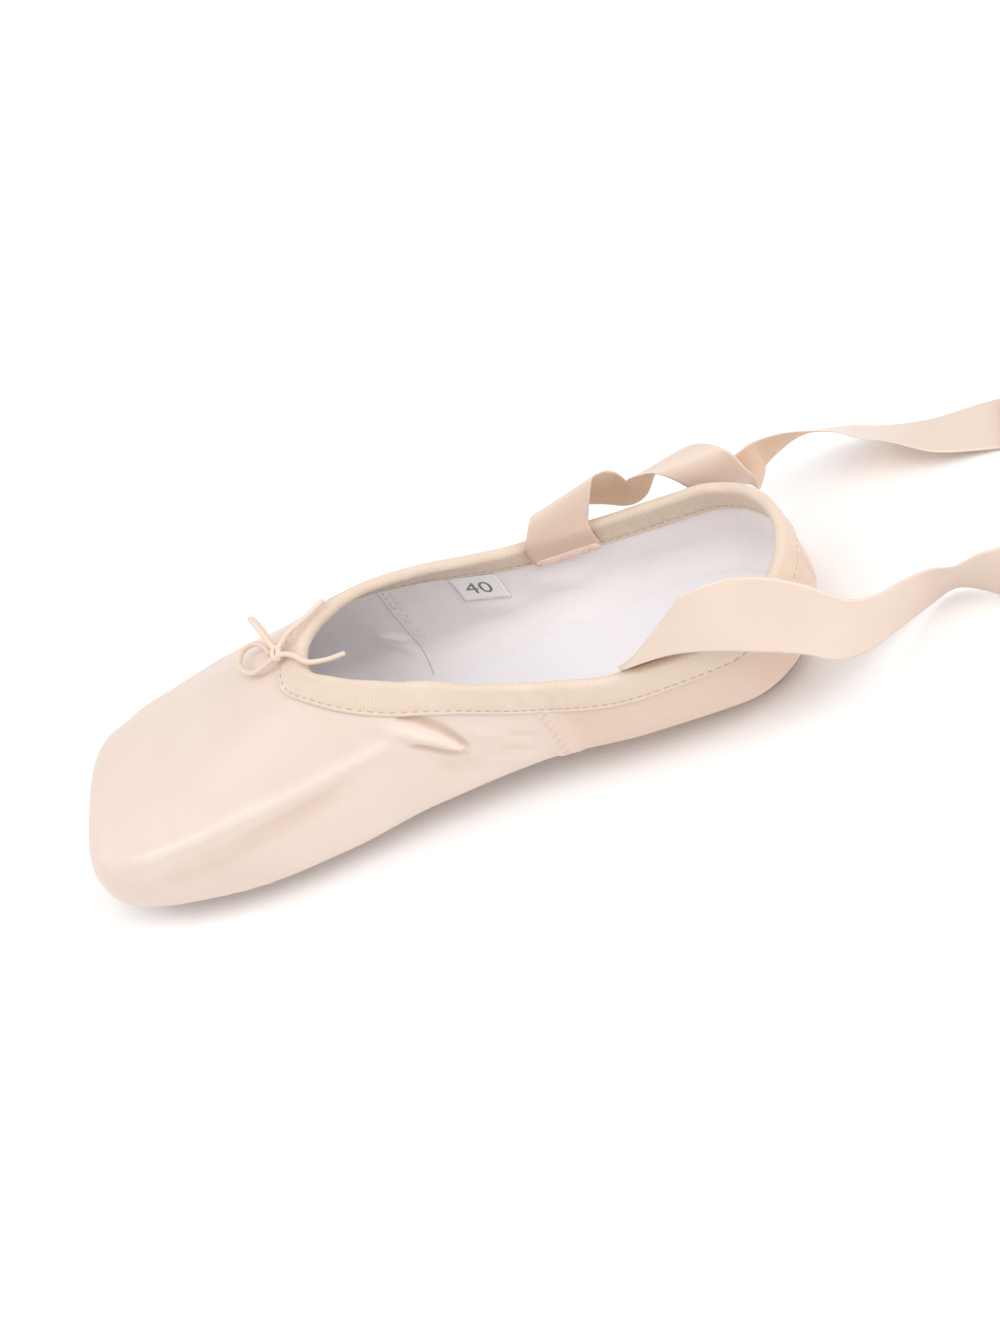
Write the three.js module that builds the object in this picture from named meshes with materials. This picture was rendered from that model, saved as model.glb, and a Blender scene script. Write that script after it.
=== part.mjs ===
// Pointe shoe with its sewn ribbons and drawstring bow.
// Millimetres. +X toward the toe, +Y toward the wearer's left, +Z up.
// The origin lies on the floor plane under the seat of the heel.
import * as THREE from "three";
import { mergeVertices } from "three/addons/utils/BufferGeometryUtils.js";

// Driving dimensions
const SHOE_LENGTH = 265;
const HEEL_SEAT_AT = 45;
const GAP = 0.3;
const BOX_WALL = 3.4;
const QUARTER_WALL = 2.0;
const WALL_CHANGES_FROM = 140;
const WALL_CHANGES_TO = 205;
const HEEL_ROUNDING = 31.5;
const HEEL_ROUNDNESS = 2.2;
const PLATFORM_SETBACK = 12;
const PLATFORM_SIDE_ROUNDING = 12;
const PLATFORM_EDGE_ROUNDING = 8;
const THROAT_AT = 166;
const SOLE_THICKNESS = 2.6;
const SOLE_EDGE_THICKNESS = 3.4;
const SOLE_ROUNDING = 20;
const SOLE_TURN_IN = 6;
const INSOLE_THICKNESS = 1.6;
const INSOLE_ROUNDING = 26;
const BINDING_WIDTH = 9.5;
const BINDING_THICKNESS = 0.8;
const RIBBON_WIDTH = 23;
const RIBBON_THICKNESS = 0.8;
const RIBBON_LENGTH = 440;
const RIBBON_FOLD_RADIUS = 2.0;
const RIBBON_TAIL_RUNS = 3;
const CORD_DIAMETER = 1.9;
const KNOT_LENGTH = 6.4;
const KNOT_WIDTH = 5.4;
const KNOT_HEIGHT = 4.4;
const TAG_FROM_AT = 104.5;
const TAG_WIDTH = 15;
const TAG_BELOW_RIM = 10.6;
const TAG_DROP = 11;
const TAG_THICKNESS = 0.6;

// How finely the surfaces are cut
const COLUMNS = 76;
const UPPER_ROWS = 15;
const GUIDE_STEPS = 26;
const SLAB_STATIONS = 30;
const RIBBON_STEPS_PER_ROW = 3;

// The last, cut across. at is measured from the back of the heel, widest is the
// height of the widest line, crown and base say how square it is above and below.
const LAST = [
  { at: 0, halfWidth: 30.3, widest: 22, top: 88, bottom: 3.0, crown: 2.2, base: 2.6 },
  { at: 30, halfWidth: 37.2, widest: 22, top: 86, bottom: 3.0, crown: 2.2, base: 2.6 },
  { at: 65, halfWidth: 38.4, widest: 22, top: 80, bottom: 4.0, crown: 2.2, base: 2.4 },
  { at: 100, halfWidth: 35.7, widest: 21, top: 74, bottom: 6.5, crown: 2.2, base: 2.3 },
  { at: 140, halfWidth: 38.0, widest: 19, top: 71, bottom: 6.0, crown: 2.3, base: 2.4 },
  { at: 175, halfWidth: 42.6, widest: 18, top: 60.4, bottom: 3.2, crown: 2.4, base: 2.8 },
  { at: 205, halfWidth: 45.0, widest: 18, top: 48.5, bottom: 3.0, crown: 2.6, base: 3.0 },
  { at: 235, halfWidth: 42.0, widest: 18, top: 39.0, bottom: 4.0, crown: 2.8, base: 3.0 },
  { at: 265, halfWidth: 33.0, widest: 19, top: 34.0, bottom: 6.0, crown: 2.8, base: 3.0 },
];

// Height of the collar's edge, seen from the side, down to where the vamp begins
const COLLAR = [
  { at: 4, height: 45.0 },
  { at: 25, height: 42.0 },
  { at: 55, height: 41.8 },
  { at: 95, height: 48.0 },
  { at: 130, height: 60.0 },
  { at: 155, height: 64.8 },
];

// Outsole: half width before its ends are rounded, and how far its underside lifts
const SOLE = [
  { at: 8, halfWidth: 22, lift: 0.0 },
  { at: 40, halfWidth: 24, lift: 0.0 },
  { at: 82, halfWidth: 20, lift: 0.0 },
  { at: 122, halfWidth: 15, lift: 3.2 },
  { at: 166, halfWidth: 23, lift: 0.0 },
  { at: 196, halfWidth: 28, lift: 0.0 },
  { at: 222, halfWidth: 27, lift: 0.0 },
  { at: 246, halfWidth: 22, lift: 1.2 },
];

const INSOLE = [
  { at: 10, halfWidth: 24 },
  { at: 45, halfWidth: 28 },
  { at: 85, halfWidth: 25 },
  { at: 125, halfWidth: 23 },
  { at: 165, halfWidth: 29 },
  { at: 205, halfWidth: 32 },
  { at: 248, halfWidth: 25 },
];

// Ribbon centre lines and the way their width points, a row per bend.
// The first rows lie inside the binding, where each ribbon is sewn down.
const FAR_RIBBON = [
  { at: 79, y: -32.1, z: 34, across: [-1, -0.12, -0.17] },
  { at: 78.5, y: -30.3, z: 45, across: [-1, -0.12, -0.19] },
  { at: 76.5, y: -30.9, z: 52, across: [-0.97, -0.15, -0.22] },
  { at: 72.5, y: -36.3, z: 56, across: [-0.72, -0.4, -0.45] },
  { at: 67.5, y: -41.5, z: 55.2, across: [-0.2, -0.5, -0.85] },
  { at: 63, y: -44.6, z: 52.2, across: [0.3, -0.3, -0.85] },
  { at: 57.5, y: -44.4, z: 49, across: [0.3, -0.4, -0.85] },
  { at: 51.5, y: -44, z: 45.5, across: [0.3, -0.45, -0.85] },
  { at: 44.5, y: -47, z: 41.5, across: [0.3, -0.35, -0.9] },
  { at: 36.5, y: -53, z: 37, across: [0.3, -0.25, -0.9] },
  { at: 31, y: -56.5, z: 32, across: [0.3, -0.15, -0.9] },
  { at: 25, y: -58.5, z: 26.5, across: [0.3, -0.15, -0.9] },
  { at: 18, y: -62, z: 21.5, across: [0.3, -0.2, -0.9] },
  { at: 11, y: -68, z: 17, across: [0.35, -0.35, -0.85] },
  { at: 2, y: -73.5, z: 13.5, across: [0.4, -0.6, -0.7] },
  { at: -10, y: -76.5, z: 10.5, across: [0.1, -0.8, -0.6] },
  { at: -26, y: -70, z: 7, across: [0, -0.93, -0.38] },
  { at: -42, y: -64.5, z: 4, across: [0, -0.98, -0.2] },
  { at: -61, y: -61, z: 1.6, across: [0, -1, -0.03] },
  { at: -70, y: -60, z: 0.8, across: [0, -1, 0] },
];
const NEAR_RIBBON = [
  { at: 47, y: 33.3, z: 31, across: [-1, -0.03, 0] },
  { at: 46.5, y: 32.1, z: 42.5, across: [-1, -0.03, -0.03] },
  { at: 44, y: 34, z: 50.5, across: [-0.87, -0.3, -0.45] },
  { at: 37.5, y: 37.5, z: 54.5, across: [-0.5, 0.05, -0.85] },
  { at: 29, y: 37, z: 55, across: [-0.12, 0.5, -0.85] },
  { at: 17.4, y: 37, z: 53.5, across: [0.1, 0.7, -0.7] },
  { at: 5.5, y: 40, z: 51, across: [0.2, 0.7, -0.65] },
  { at: -3.3, y: 42.5, z: 46.5, across: [0.3, 0.6, -0.7] },
  { at: -9.5, y: 42.5, z: 39, across: [0.4, 0.4, -0.8] },
  { at: -14, y: 38, z: 31.5, across: [0.4, 0.2, -0.9] },
  { at: -19, y: 31, z: 24, across: [0.4, 0.1, -0.9] },
  { at: -26, y: 21, z: 17.5, across: [0.35, -0.05, -0.93] },
  { at: -35, y: 13.5, z: 13.5, across: [0.3, -0.25, -0.95] },
  { at: -44, y: 12, z: 12.6, across: [0.2, -0.45, -0.89] },
  { at: -55, y: 15, z: 12.4, across: [0.1, -0.1, -0.99] },
  { at: -68, y: 21, z: 10.2, across: [0, 0.5, -0.85] },
  { at: -80, y: 25, z: 4.4, across: [0, 0.95, -0.3] },
  { at: -92, y: 26, z: 1.4, across: [0, 1, -0.02] },
  { at: -100, y: 26, z: 0.8, across: [0, 1, 0] },
];

// Drawstring bow over the throat, each strand from the knot outward
const KNOT_AT = { at: 173.2, y: -3, z: 65 };
const BOW_STRANDS = {
  drawstring_loop_round: [
    [176.2, -5.1, 64.2], [179.3, -11.5, 62.2], [184, -17, 59.8], [189.5, -18.6, 57.6],
    [192.3, -14, 56.4], [191, -6.5, 56.4], [186.5, -1.2, 58.2], [181.5, -0.8, 60.8],
    [176.9, -2.1, 63.8],
  ],
  drawstring_loop_narrow: [
    [174.4, -6.1, 66], [177.5, -12, 66.9], [180.5, -18, 67.4], [182.4, -21.5, 67],
    [181.6, -22, 65.2], [179.4, -18, 63.8], [176.9, -12.4, 63.4], [174, -6.3, 63.5],
  ],
  drawstring_end_up: [
    [171.7, -5.9, 65.9], [168.2, -8.8, 67.1], [162, -11.6, 68], [154, -16.7, 68.6],
  ],
  drawstring_end_right: [
    [170.2, -1.2, 65.9], [166, 2, 66.6], [161.3, 6.5, 66.2], [155, 7.2, 65], [148.7, 5.7, 63.6],
  ],
};

const COLOURS = {
  satin: 0xf6dfd0,
  binding: 0xecd6bd,
  leather: 0xc9a98c,
  insole: 0xebe2e6,
  ribbon: 0xf1dacb,
  cord: 0xeed3ba,
  tag: 0xfafafa,
};

// A smooth curve through one column of a table that never overshoots its rows
function readColumn(rows, column) {
  const at = rows.map((row) => row.at);
  const value = rows.map((row) => row[column]);
  const last = rows.length - 1;
  const step = [];
  const rise = [];
  for (let i = 0; i < last; i += 1) {
    step.push(at[i + 1] - at[i]);
    rise.push((value[i + 1] - value[i]) / step[i]);
  }
  const slope = [rise[0]];
  for (let i = 1; i < last; i += 1) {
    const before = 2 * step[i] + step[i - 1];
    const after = step[i] + 2 * step[i - 1];
    const turns = rise[i - 1] * rise[i] <= 0;
    slope.push(turns ? 0 : (before + after) / (before / rise[i - 1] + after / rise[i]));
  }
  slope.push(rise[last - 1]);
  return (place) => {
    const x = THREE.MathUtils.clamp(place, at[0], at[last]);
    let i = 0;
    while (i < last - 1 && x > at[i + 1]) i += 1;
    const h = step[i];
    const t = (x - at[i]) / h;
    const t2 = t * t;
    const t3 = t2 * t;
    return (
      value[i] * (2 * t3 - 3 * t2 + 1) + slope[i] * h * (t3 - 2 * t2 + t) +
      value[i + 1] * (3 * t2 - 2 * t3) + slope[i + 1] * h * (t3 - t2)
    );
  };
}

const lastColumns = {
  halfWidth: readColumn(LAST, "halfWidth"),
  widest: readColumn(LAST, "widest"),
  top: readColumn(LAST, "top"),
  bottom: readColumn(LAST, "bottom"),
  crown: readColumn(LAST, "crown"),
  base: readColumn(LAST, "base"),
};
const throatHeight = lastColumns.top(THROAT_AT);
const collarHeight = readColumn([...COLLAR, { at: THROAT_AT, height: throatHeight }], "height");

// How much a rounded end takes off, from 0 at its tip to 1 where the rounding is over
function roundedEnd(distance, length) {
  const left = THREE.MathUtils.clamp(1 - distance / length, 0, 1);
  return Math.max(1 - left ** HEEL_ROUNDNESS, 0) ** (1 / HEEL_ROUNDNESS);
}

// One cross-section of the last, with its heel rounded and its platform edge eased
function section(at) {
  const heel = roundedEnd(at, HEEL_ROUNDING);
  const toPlatform = THREE.MathUtils.clamp((SHOE_LENGTH - at) / PLATFORM_SETBACK, 0, 1);
  const eased = 1 - Math.sqrt(1 - (1 - toPlatform) ** 2);
  const sideways = eased * PLATFORM_SIDE_ROUNDING;
  const upward = eased * PLATFORM_EDGE_ROUNDING;
  const widest = lastColumns.widest(at);
  return {
    widest,
    halfWidth: Math.max((lastColumns.halfWidth(at) - sideways) * heel, 1e-3),
    above: Math.max((lastColumns.top(at) - widest - upward) * heel, 1e-3),
    below: Math.max((widest - lastColumns.bottom(at) - upward) * heel, 1e-3),
    crown: lastColumns.crown(at),
    base: lastColumns.base(at),
  };
}

function insideLast(point) {
  if (point.x < 0 || point.x > SHOE_LENGTH) return false;
  const cut = section(point.x);
  const up = point.z >= cut.widest;
  const power = up ? cut.crown : cut.base;
  const reach = up ? cut.above : cut.below;
  const across = (Math.abs(point.y) / cut.halfWidth) ** power;
  return across + (Math.abs(point.z - cut.widest) / reach) ** power < 1;
}

// Height of the last's underside
function underside(at, y) {
  const cut = section(at);
  const across = Math.min(Math.abs(y) / cut.halfWidth, 1);
  return cut.widest - cut.below * Math.max(1 - across ** cut.base, 0) ** (1 / cut.base);
}

function wallThickness(at) {
  const forward = THREE.MathUtils.smoothstep(at, WALL_CHANGES_FROM, WALL_CHANGES_TO);
  return THREE.MathUtils.lerp(QUARTER_WALL, BOX_WALL, forward);
}

// A point pushed straight out from the middle of the foot onto the last
const HEEL_FOCUS = 32;
const TOE_FOCUS = SHOE_LENGTH - 30;
function ontoLast(guide) {
  const at = THREE.MathUtils.clamp(guide.x, HEEL_FOCUS, TOE_FOCUS);
  const middle = new THREE.Vector3(at, 0, lastColumns.widest(at));
  const way = guide.clone().sub(middle).normalize();
  let near = 0;
  let far = 120;
  for (let i = 0; i < 40; i += 1) {
    const half = (near + far) / 2;
    if (insideLast(middle.clone().addScaledVector(way, half))) near = half;
    else far = half;
  }
  return middle.addScaledVector(way, near);
}

// A line that is read by the share of its length, or asked for the share at a place
function measuredLine(points) {
  const length = [0];
  for (let i = 1; i < points.length; i += 1) {
    length.push(length[i - 1] + points[i].distanceTo(points[i - 1]));
  }
  const total = length[length.length - 1];
  const pointAt = (share) => {
    const wanted = THREE.MathUtils.clamp(share, 0, 1) * total;
    let i = 1;
    while (i < points.length - 1 && length[i] < wanted) i += 1;
    const span = length[i] - length[i - 1] || 1;
    return points[i - 1].clone().lerp(points[i], (wanted - length[i - 1]) / span);
  };
  const shareAt = (at) => {
    const i = points.findIndex((point) => point.x >= at);
    const span = points[i].x - points[i - 1].x || 1;
    const part = (at - points[i - 1].x) / span;
    return (length[i - 1] + part * (length[i] - length[i - 1])) / total;
  };
  return { pointAt, shareAt, total };
}

// Places from one end to the other that crowd together at both ends
function easedPlaces(from, to, count) {
  const places = [];
  for (let i = 0; i <= count; i += 1) {
    places.push(from + (to - from) * (0.5 - 0.5 * Math.cos((Math.PI * i) / count)));
  }
  return places;
}

// Half width of a sole-like outline with both its ends rounded
function outlineWidth(rows, rounding) {
  const width = readColumn(rows, "halfWidth");
  const from = rows[0].at;
  const to = rows[rows.length - 1].at;
  const at = (place) =>
    width(place) * roundedEnd(place - from, rounding) * roundedEnd(to - place, rounding);
  return { at, from, to };
}
const soleOutline = outlineWidth(SOLE, SOLE_ROUNDING);
const insoleOutline = outlineWidth(INSOLE, INSOLE_ROUNDING);

// The three lines that the upper is hung between, from heel to toe on one side
const LINE_POINTS = 120;
function widestLine() {
  const points = easedPlaces(0, SHOE_LENGTH, LINE_POINTS).map((at) => {
    const cut = section(at);
    return new THREE.Vector3(at, at === 0 ? 0 : cut.halfWidth, cut.widest);
  });
  const corner = points[points.length - 1];
  const across = 12;
  for (let i = 1; i <= across; i += 1) {
    points.push(new THREE.Vector3(SHOE_LENGTH, corner.y * (1 - i / across), corner.z));
  }
  return measuredLine(points);
}

function collarBack() {
  let low = 0;
  let high = HEEL_ROUNDING;
  for (let i = 0; i < 40; i += 1) {
    const half = (low + high) / 2;
    const cut = section(half);
    if (cut.above < collarHeight(half) - cut.widest) low = half;
    else high = half;
  }
  return high;
}

function collarLine() {
  const points = easedPlaces(collarBack(), THROAT_AT, LINE_POINTS).map((at) => {
    const cut = section(at);
    const height = collarHeight(at);
    const up = Math.min((height - cut.widest) / cut.above, 1);
    const y = cut.halfWidth * Math.max(1 - up ** cut.crown, 0) ** (1 / cut.crown);
    return new THREE.Vector3(at, y, height);
  });
  points[0].y = 0;
  points[points.length - 1].y = 0;
  return measuredLine(points);
}

function soleOpeningLine() {
  const { from, to } = soleOutline;
  const width = outlineWidth(
    SOLE.map((row) => ({ at: row.at, halfWidth: row.halfWidth - SOLE_TURN_IN })),
    SOLE_ROUNDING,
  );
  const squeeze = (to - from - 2 * SOLE_TURN_IN) / (to - from);
  const points = easedPlaces(from, to, LINE_POINTS).map((at) => {
    const place = from + SOLE_TURN_IN + (at - from) * squeeze;
    const y = width.at(at);
    return new THREE.Vector3(place, y, underside(place, y));
  });
  return measuredLine(points);
}

// Columns of points up the outside of the shoe, from the sole opening to the collar
const MATCHED_AT = [30, 75, 120];
function buildSkin() {
  const widest = widestLine();
  const collar = collarLine();
  const opening = soleOpeningLine();
  const matched = (line) =>
    readColumn(
      [
        { at: 0, share: 0 },
        ...MATCHED_AT.map((at) => ({ at: widest.shareAt(at), share: line.shareAt(at) })),
        { at: 1, share: 1 },
      ],
      "share",
    );
  const collarShare = matched(collar);
  const openingShare = matched(opening);
  const half = COLUMNS / 2;
  const columns = [];
  for (let i = 0; i <= half; i += 1) {
    const share = i / half;
    const low = opening.pointAt(openingShare(share));
    const middle = widest.pointAt(share);
    const high = collar.pointAt(collarShare(share));
    const points = [];
    for (let j = 0; j <= GUIDE_STEPS; j += 1) {
      points.push(ontoLast(low.clone().lerp(middle, j / GUIDE_STEPS)));
    }
    for (let j = 1; j <= GUIDE_STEPS; j += 1) {
      points.push(ontoLast(middle.clone().lerp(high, j / GUIDE_STEPS)));
    }
    points[points.length - 1].copy(high);
    if (i === 0 || i === half) points.forEach((point) => point.setY(0));
    columns.push(points);
  }
  for (let i = half - 1; i > 0; i -= 1) {
    columns.push(columns[i].map((point) => new THREE.Vector3(point.x, -point.y, point.z)));
  }
  return columns.map((points, i) => {
    const before = columns[(i + COLUMNS - 1) % COLUMNS];
    const after = columns[(i + 1) % COLUMNS];
    const normals = points.map((_, j) => {
      const along = after[j].clone().sub(before[j]);
      const up = points[Math.min(j + 1, points.length - 1)].clone();
      up.sub(points[Math.max(j - 1, 0)]);
      return up.cross(along).normalize();
    });
    return finishColumn(points, normals);
  });
}

// One column, read by its distance below the collar's edge and its offset outward
function finishColumn(points, normals) {
  const length = [0];
  for (let j = 1; j < points.length; j += 1) {
    length.push(length[j - 1] + points[j].distanceTo(points[j - 1]));
  }
  const total = length[length.length - 1];
  const top = points.length - 1;
  const upward = points[top].clone().sub(points[top - 1]).normalize();
  const locate = (below) => {
    if (below <= 0) {
      const point = points[top].clone().addScaledVector(upward, -below);
      return { point, normal: normals[top] };
    }
    const wanted = total - below;
    let j = 1;
    while (j < top && length[j] < wanted) j += 1;
    const part = THREE.MathUtils.clamp((wanted - length[j - 1]) / (length[j] - length[j - 1]), 0, 1);
    return {
      point: points[j - 1].clone().lerp(points[j], part),
      normal: normals[j - 1].clone().lerp(normals[j], part).normalize(),
    };
  };
  const outside = (below, offset = 0) => {
    const { point, normal } = locate(below);
    return point.addScaledVector(normal, offset);
  };
  const inside = (below, offset = 0) => {
    const { point, normal } = locate(below);
    return point.addScaledVector(normal, -wallThickness(point.x) - offset);
  };
  return { total, outside, inside };
}

const skin = buildSkin();

// A closed geometry from corners and faces, without the faces that came to nothing
function closedGeometry(corners, faces) {
  const flat = new THREE.BufferGeometry();
  flat.setAttribute("position", new THREE.Float32BufferAttribute(corners.flatMap((p) => p.toArray()), 3));
  flat.setIndex(faces.flat());
  const merged = mergeVertices(flat, 1e-3);
  const index = merged.getIndex().array;
  const position = merged.getAttribute("position");
  const kept = [];
  let volume = 0;
  for (let i = 0; i < index.length; i += 3) {
    const [a, b, c] = [index[i], index[i + 1], index[i + 2]];
    if (a === b || b === c || c === a) continue;
    kept.push([a, b, c]);
    const corner = [a, b, c].map((k) => new THREE.Vector3().fromBufferAttribute(position, k));
    volume += corner[0].dot(corner[1].clone().cross(corner[2]));
  }
  const outward = volume > 0 ? kept : kept.map(([a, b, c]) => [a, c, b]);
  merged.setIndex(outward.flat());
  merged.computeVertexNormals();
  return merged;
}

// Rings of points joined one to the next. A looped row of rings closes on itself,
// and an open one gets a face at each end.
function ringSolid(rings, looped) {
  const count = rings[0].length;
  const corners = rings.flat();
  const faces = [];
  const last = looped ? rings.length : rings.length - 1;
  for (let i = 0; i < last; i += 1) {
    const next = (i + 1) % rings.length;
    for (let j = 0; j < count; j += 1) {
      const a = i * count + j;
      const b = i * count + ((j + 1) % count);
      const c = next * count + ((j + 1) % count);
      const d = next * count + j;
      const acrossAC = corners[a].distanceTo(corners[c]);
      const acrossBD = corners[b].distanceTo(corners[d]);
      if (acrossAC < acrossBD) faces.push([a, b, c], [a, c, d]);
      else faces.push([a, b, d], [b, c, d]);
    }
  }
  if (!looped) {
    const end = (rings.length - 1) * count;
    for (let j = 1; j < count - 1; j += 1) {
      faces.push([0, j + 1, j], [end, end + j, end + j + 1]);
    }
  }
  return closedGeometry(corners, faces);
}

function upperGeometry() {
  const rings = skin.map((column) => {
    const ring = [];
    for (let j = 0; j <= UPPER_ROWS; j += 1) {
      ring.push(column.outside(column.total * (1 - j / UPPER_ROWS)));
    }
    for (let j = UPPER_ROWS; j >= 0; j -= 1) {
      ring.push(column.inside(column.total * (1 - j / UPPER_ROWS)));
    }
    return ring;
  });
  return ringSolid(rings, true);
}

// Grosgrain folded over the collar's edge: down the outside, over it, down the inside
function bindingGeometry() {
  const outer = GAP + BINDING_THICKNESS;
  const crest = -GAP - BINDING_THICKNESS;
  const shoulder = BINDING_THICKNESS / 2;
  const rungs = [BINDING_WIDTH, BINDING_WIDTH / 2];
  const rings = skin.map((column) => [
    ...rungs.map((below) => column.outside(below, outer)),
    column.outside(-GAP, outer),
    column.outside(crest, outer - shoulder),
    column.inside(crest, outer - shoulder),
    column.inside(-GAP, outer),
    ...rungs.toReversed().map((below) => column.inside(below, outer)),
    ...rungs.map((below) => column.inside(below, GAP)),
    column.inside(-GAP, GAP),
    column.outside(-GAP, GAP),
    ...rungs.toReversed().map((below) => column.outside(below, GAP)),
  ]);
  return ringSolid(rings, true);
}

// A plate cut to an outline, with its own upper and lower faces
function plateGeometry(outline, strips, upperFace, lowerFace) {
  const rings = easedPlaces(outline.from, outline.to, SLAB_STATIONS).map((at) => {
    const half = outline.at(at);
    const ring = [];
    for (let j = 0; j <= strips; j += 1) {
      const y = half * ((2 * j) / strips - 1);
      ring.push(new THREE.Vector3(at, y, upperFace(at, y)));
    }
    for (let j = strips; j >= 0; j -= 1) {
      const y = half * ((2 * j) / strips - 1);
      ring.push(new THREE.Vector3(at, y, lowerFace(at, y)));
    }
    return ring;
  });
  return ringSolid(rings, false);
}

function outsoleGeometry() {
  const lift = readColumn(SOLE, "lift");
  const upperFace = (at, y) => Math.max(underside(at, y) - GAP, lift(at) + SOLE_THICKNESS);
  const lowerFace = (at, y) => Math.max(lift(at), upperFace(at, y) - SOLE_EDGE_THICKNESS);
  return plateGeometry(soleOutline, 8, upperFace, lowerFace);
}

// The insole lies a gap above the turned-in edge of the upper
function insoleGeometry() {
  const nudge = 0.5;
  const floorOf = (at, y) => {
    const wall = wallThickness(at);
    const slopeY = (underside(at, y + nudge) - underside(at, y - nudge)) / (2 * nudge);
    const slopeX = (underside(at + nudge, y) - underside(at - nudge, y)) / (2 * nudge);
    return underside(at, y) + (wall + 1.5 * GAP) * Math.hypot(1, slopeX, slopeY);
  };
  return plateGeometry(
    insoleOutline,
    8,
    (at, y) => floorOf(at, y) + INSOLE_THICKNESS,
    floorOf,
  );
}

// The ribbon's centre line: through its rows, then flat on the floor in even folds
function ribbonPath(rows) {
  const centres = new THREE.CatmullRomCurve3(
    rows.map((row) => new THREE.Vector3(row.at, row.y, row.z)),
    false,
    "catmullrom",
    0.5,
  );
  const ways = rows.map((row) => new THREE.Vector3(...row.across).normalize());
  const last = rows.length - 1;
  const path = [];
  for (let i = 0; i <= last * RIBBON_STEPS_PER_ROW; i += 1) {
    const share = i / (last * RIBBON_STEPS_PER_ROW);
    const row = Math.min(Math.floor(share * last), last - 1);
    const across = ways[row].clone().lerp(ways[row + 1], share * last - row);
    path.push({ point: centres.getPoint(share), across });
  }
  const used = centres.getLength();
  const bends = (RIBBON_TAIL_RUNS - 1) * Math.PI * RIBBON_FOLD_RADIUS;
  const run = (RIBBON_LENGTH - used - bends) / RIBBON_TAIL_RUNS;
  let { x, y, z } = path[path.length - 1].point;
  const across = ways[last];
  let way = -1;
  for (let fold = 0; fold < RIBBON_TAIL_RUNS; fold += 1) {
    const from = x;
    for (const part of [0.33, 0.67, 1]) {
      path.push({ point: new THREE.Vector3(from + way * run * part, y, z), across });
    }
    x = from + way * run;
    if (fold === RIBBON_TAIL_RUNS - 1) break;
    for (let turn = 1; turn <= 6; turn += 1) {
      const angle = (Math.PI * turn) / 6;
      const out = x + way * RIBBON_FOLD_RADIUS * Math.sin(angle);
      const up = z + RIBBON_FOLD_RADIUS * (1 - Math.cos(angle));
      path.push({ point: new THREE.Vector3(out, y, up), across });
    }
    z += 2 * RIBBON_FOLD_RADIUS;
    way = -way;
  }
  return path;
}

function ribbonGeometry(rows) {
  const path = ribbonPath(rows);
  const rings = path.map(({ point, across }, i) => {
    const ahead = path[Math.min(i + 1, path.length - 1)].point.clone();
    ahead.sub(path[Math.max(i - 1, 0)].point).normalize();
    const wide = across.clone().addScaledVector(ahead, -across.dot(ahead)).normalize();
    const thick = new THREE.Vector3().crossVectors(ahead, wide);
    const corner = (w, t) =>
      point.clone()
        .addScaledVector(wide, (w * RIBBON_WIDTH) / 2)
        .addScaledVector(thick, (t * RIBBON_THICKNESS) / 2);
    return [corner(-1, -1), corner(1, -1), corner(1, 1), corner(-1, 1)];
  });
  return ringSolid(rings, false);
}

// A round cord along a hand-placed route
function cordGeometry(route) {
  const path = new THREE.CatmullRomCurve3(route.map((p) => new THREE.Vector3(...p)));
  const steps = Math.ceil(path.getLength() / (2.2 * CORD_DIAMETER)) * 2;
  const outline = new THREE.Shape();
  const sides = 8;
  for (let i = 0; i < sides; i += 1) {
    const angle = (2 * Math.PI * i) / sides;
    const x = (CORD_DIAMETER / 2) * Math.cos(angle);
    const y = (CORD_DIAMETER / 2) * Math.sin(angle);
    if (i === 0) outline.moveTo(x, y);
    else outline.lineTo(x, y);
  }
  return new THREE.ExtrudeGeometry(outline, { steps, bevelEnabled: false, extrudePath: path });
}

function knotGeometry() {
  const ball = new THREE.SphereGeometry(0.5, 12, 8);
  ball.scale(KNOT_LENGTH, KNOT_WIDTH, KNOT_HEIGHT);
  ball.translate(KNOT_AT.at, KNOT_AT.y, KNOT_AT.z);
  ball.deleteAttribute("normal");
  ball.deleteAttribute("uv");
  return mergeVertices(ball, 1e-3);
}

// The size tag, a thin patch that follows the inside of the far quarter
function tagGeometry() {
  const far = skin.slice(COLUMNS / 2);
  const placeOf = (column) => column.inside(TAG_BELOW_RIM).x;
  const pointAt = (at, below, offset) => {
    const i = far.findIndex((column) => placeOf(column) <= at);
    const span = placeOf(far[i - 1]) - placeOf(far[i]);
    const part = (placeOf(far[i - 1]) - at) / span;
    return far[i - 1].inside(below, offset).lerp(far[i].inside(below, offset), part);
  };
  const steps = 4;
  const rings = [];
  for (let i = 0; i <= steps; i += 1) {
    const at = TAG_FROM_AT + (TAG_WIDTH * i) / steps;
    const high = TAG_BELOW_RIM;
    const low = TAG_BELOW_RIM + TAG_DROP;
    const back = GAP;
    const front = GAP + TAG_THICKNESS;
    rings.push([
      pointAt(at, high, back), pointAt(at, (high + low) / 2, back), pointAt(at, low, back),
      pointAt(at, low, front), pointAt(at, (high + low) / 2, front), pointAt(at, high, front),
    ]);
  }
  return ringSolid(rings, false);
}

function piece(name, geometry, colour, roughness) {
  const material = new THREE.MeshStandardMaterial({ color: colour, roughness, metalness: 0 });
  const mesh = new THREE.Mesh(geometry, material);
  mesh.name = name;
  return mesh;
}

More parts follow.
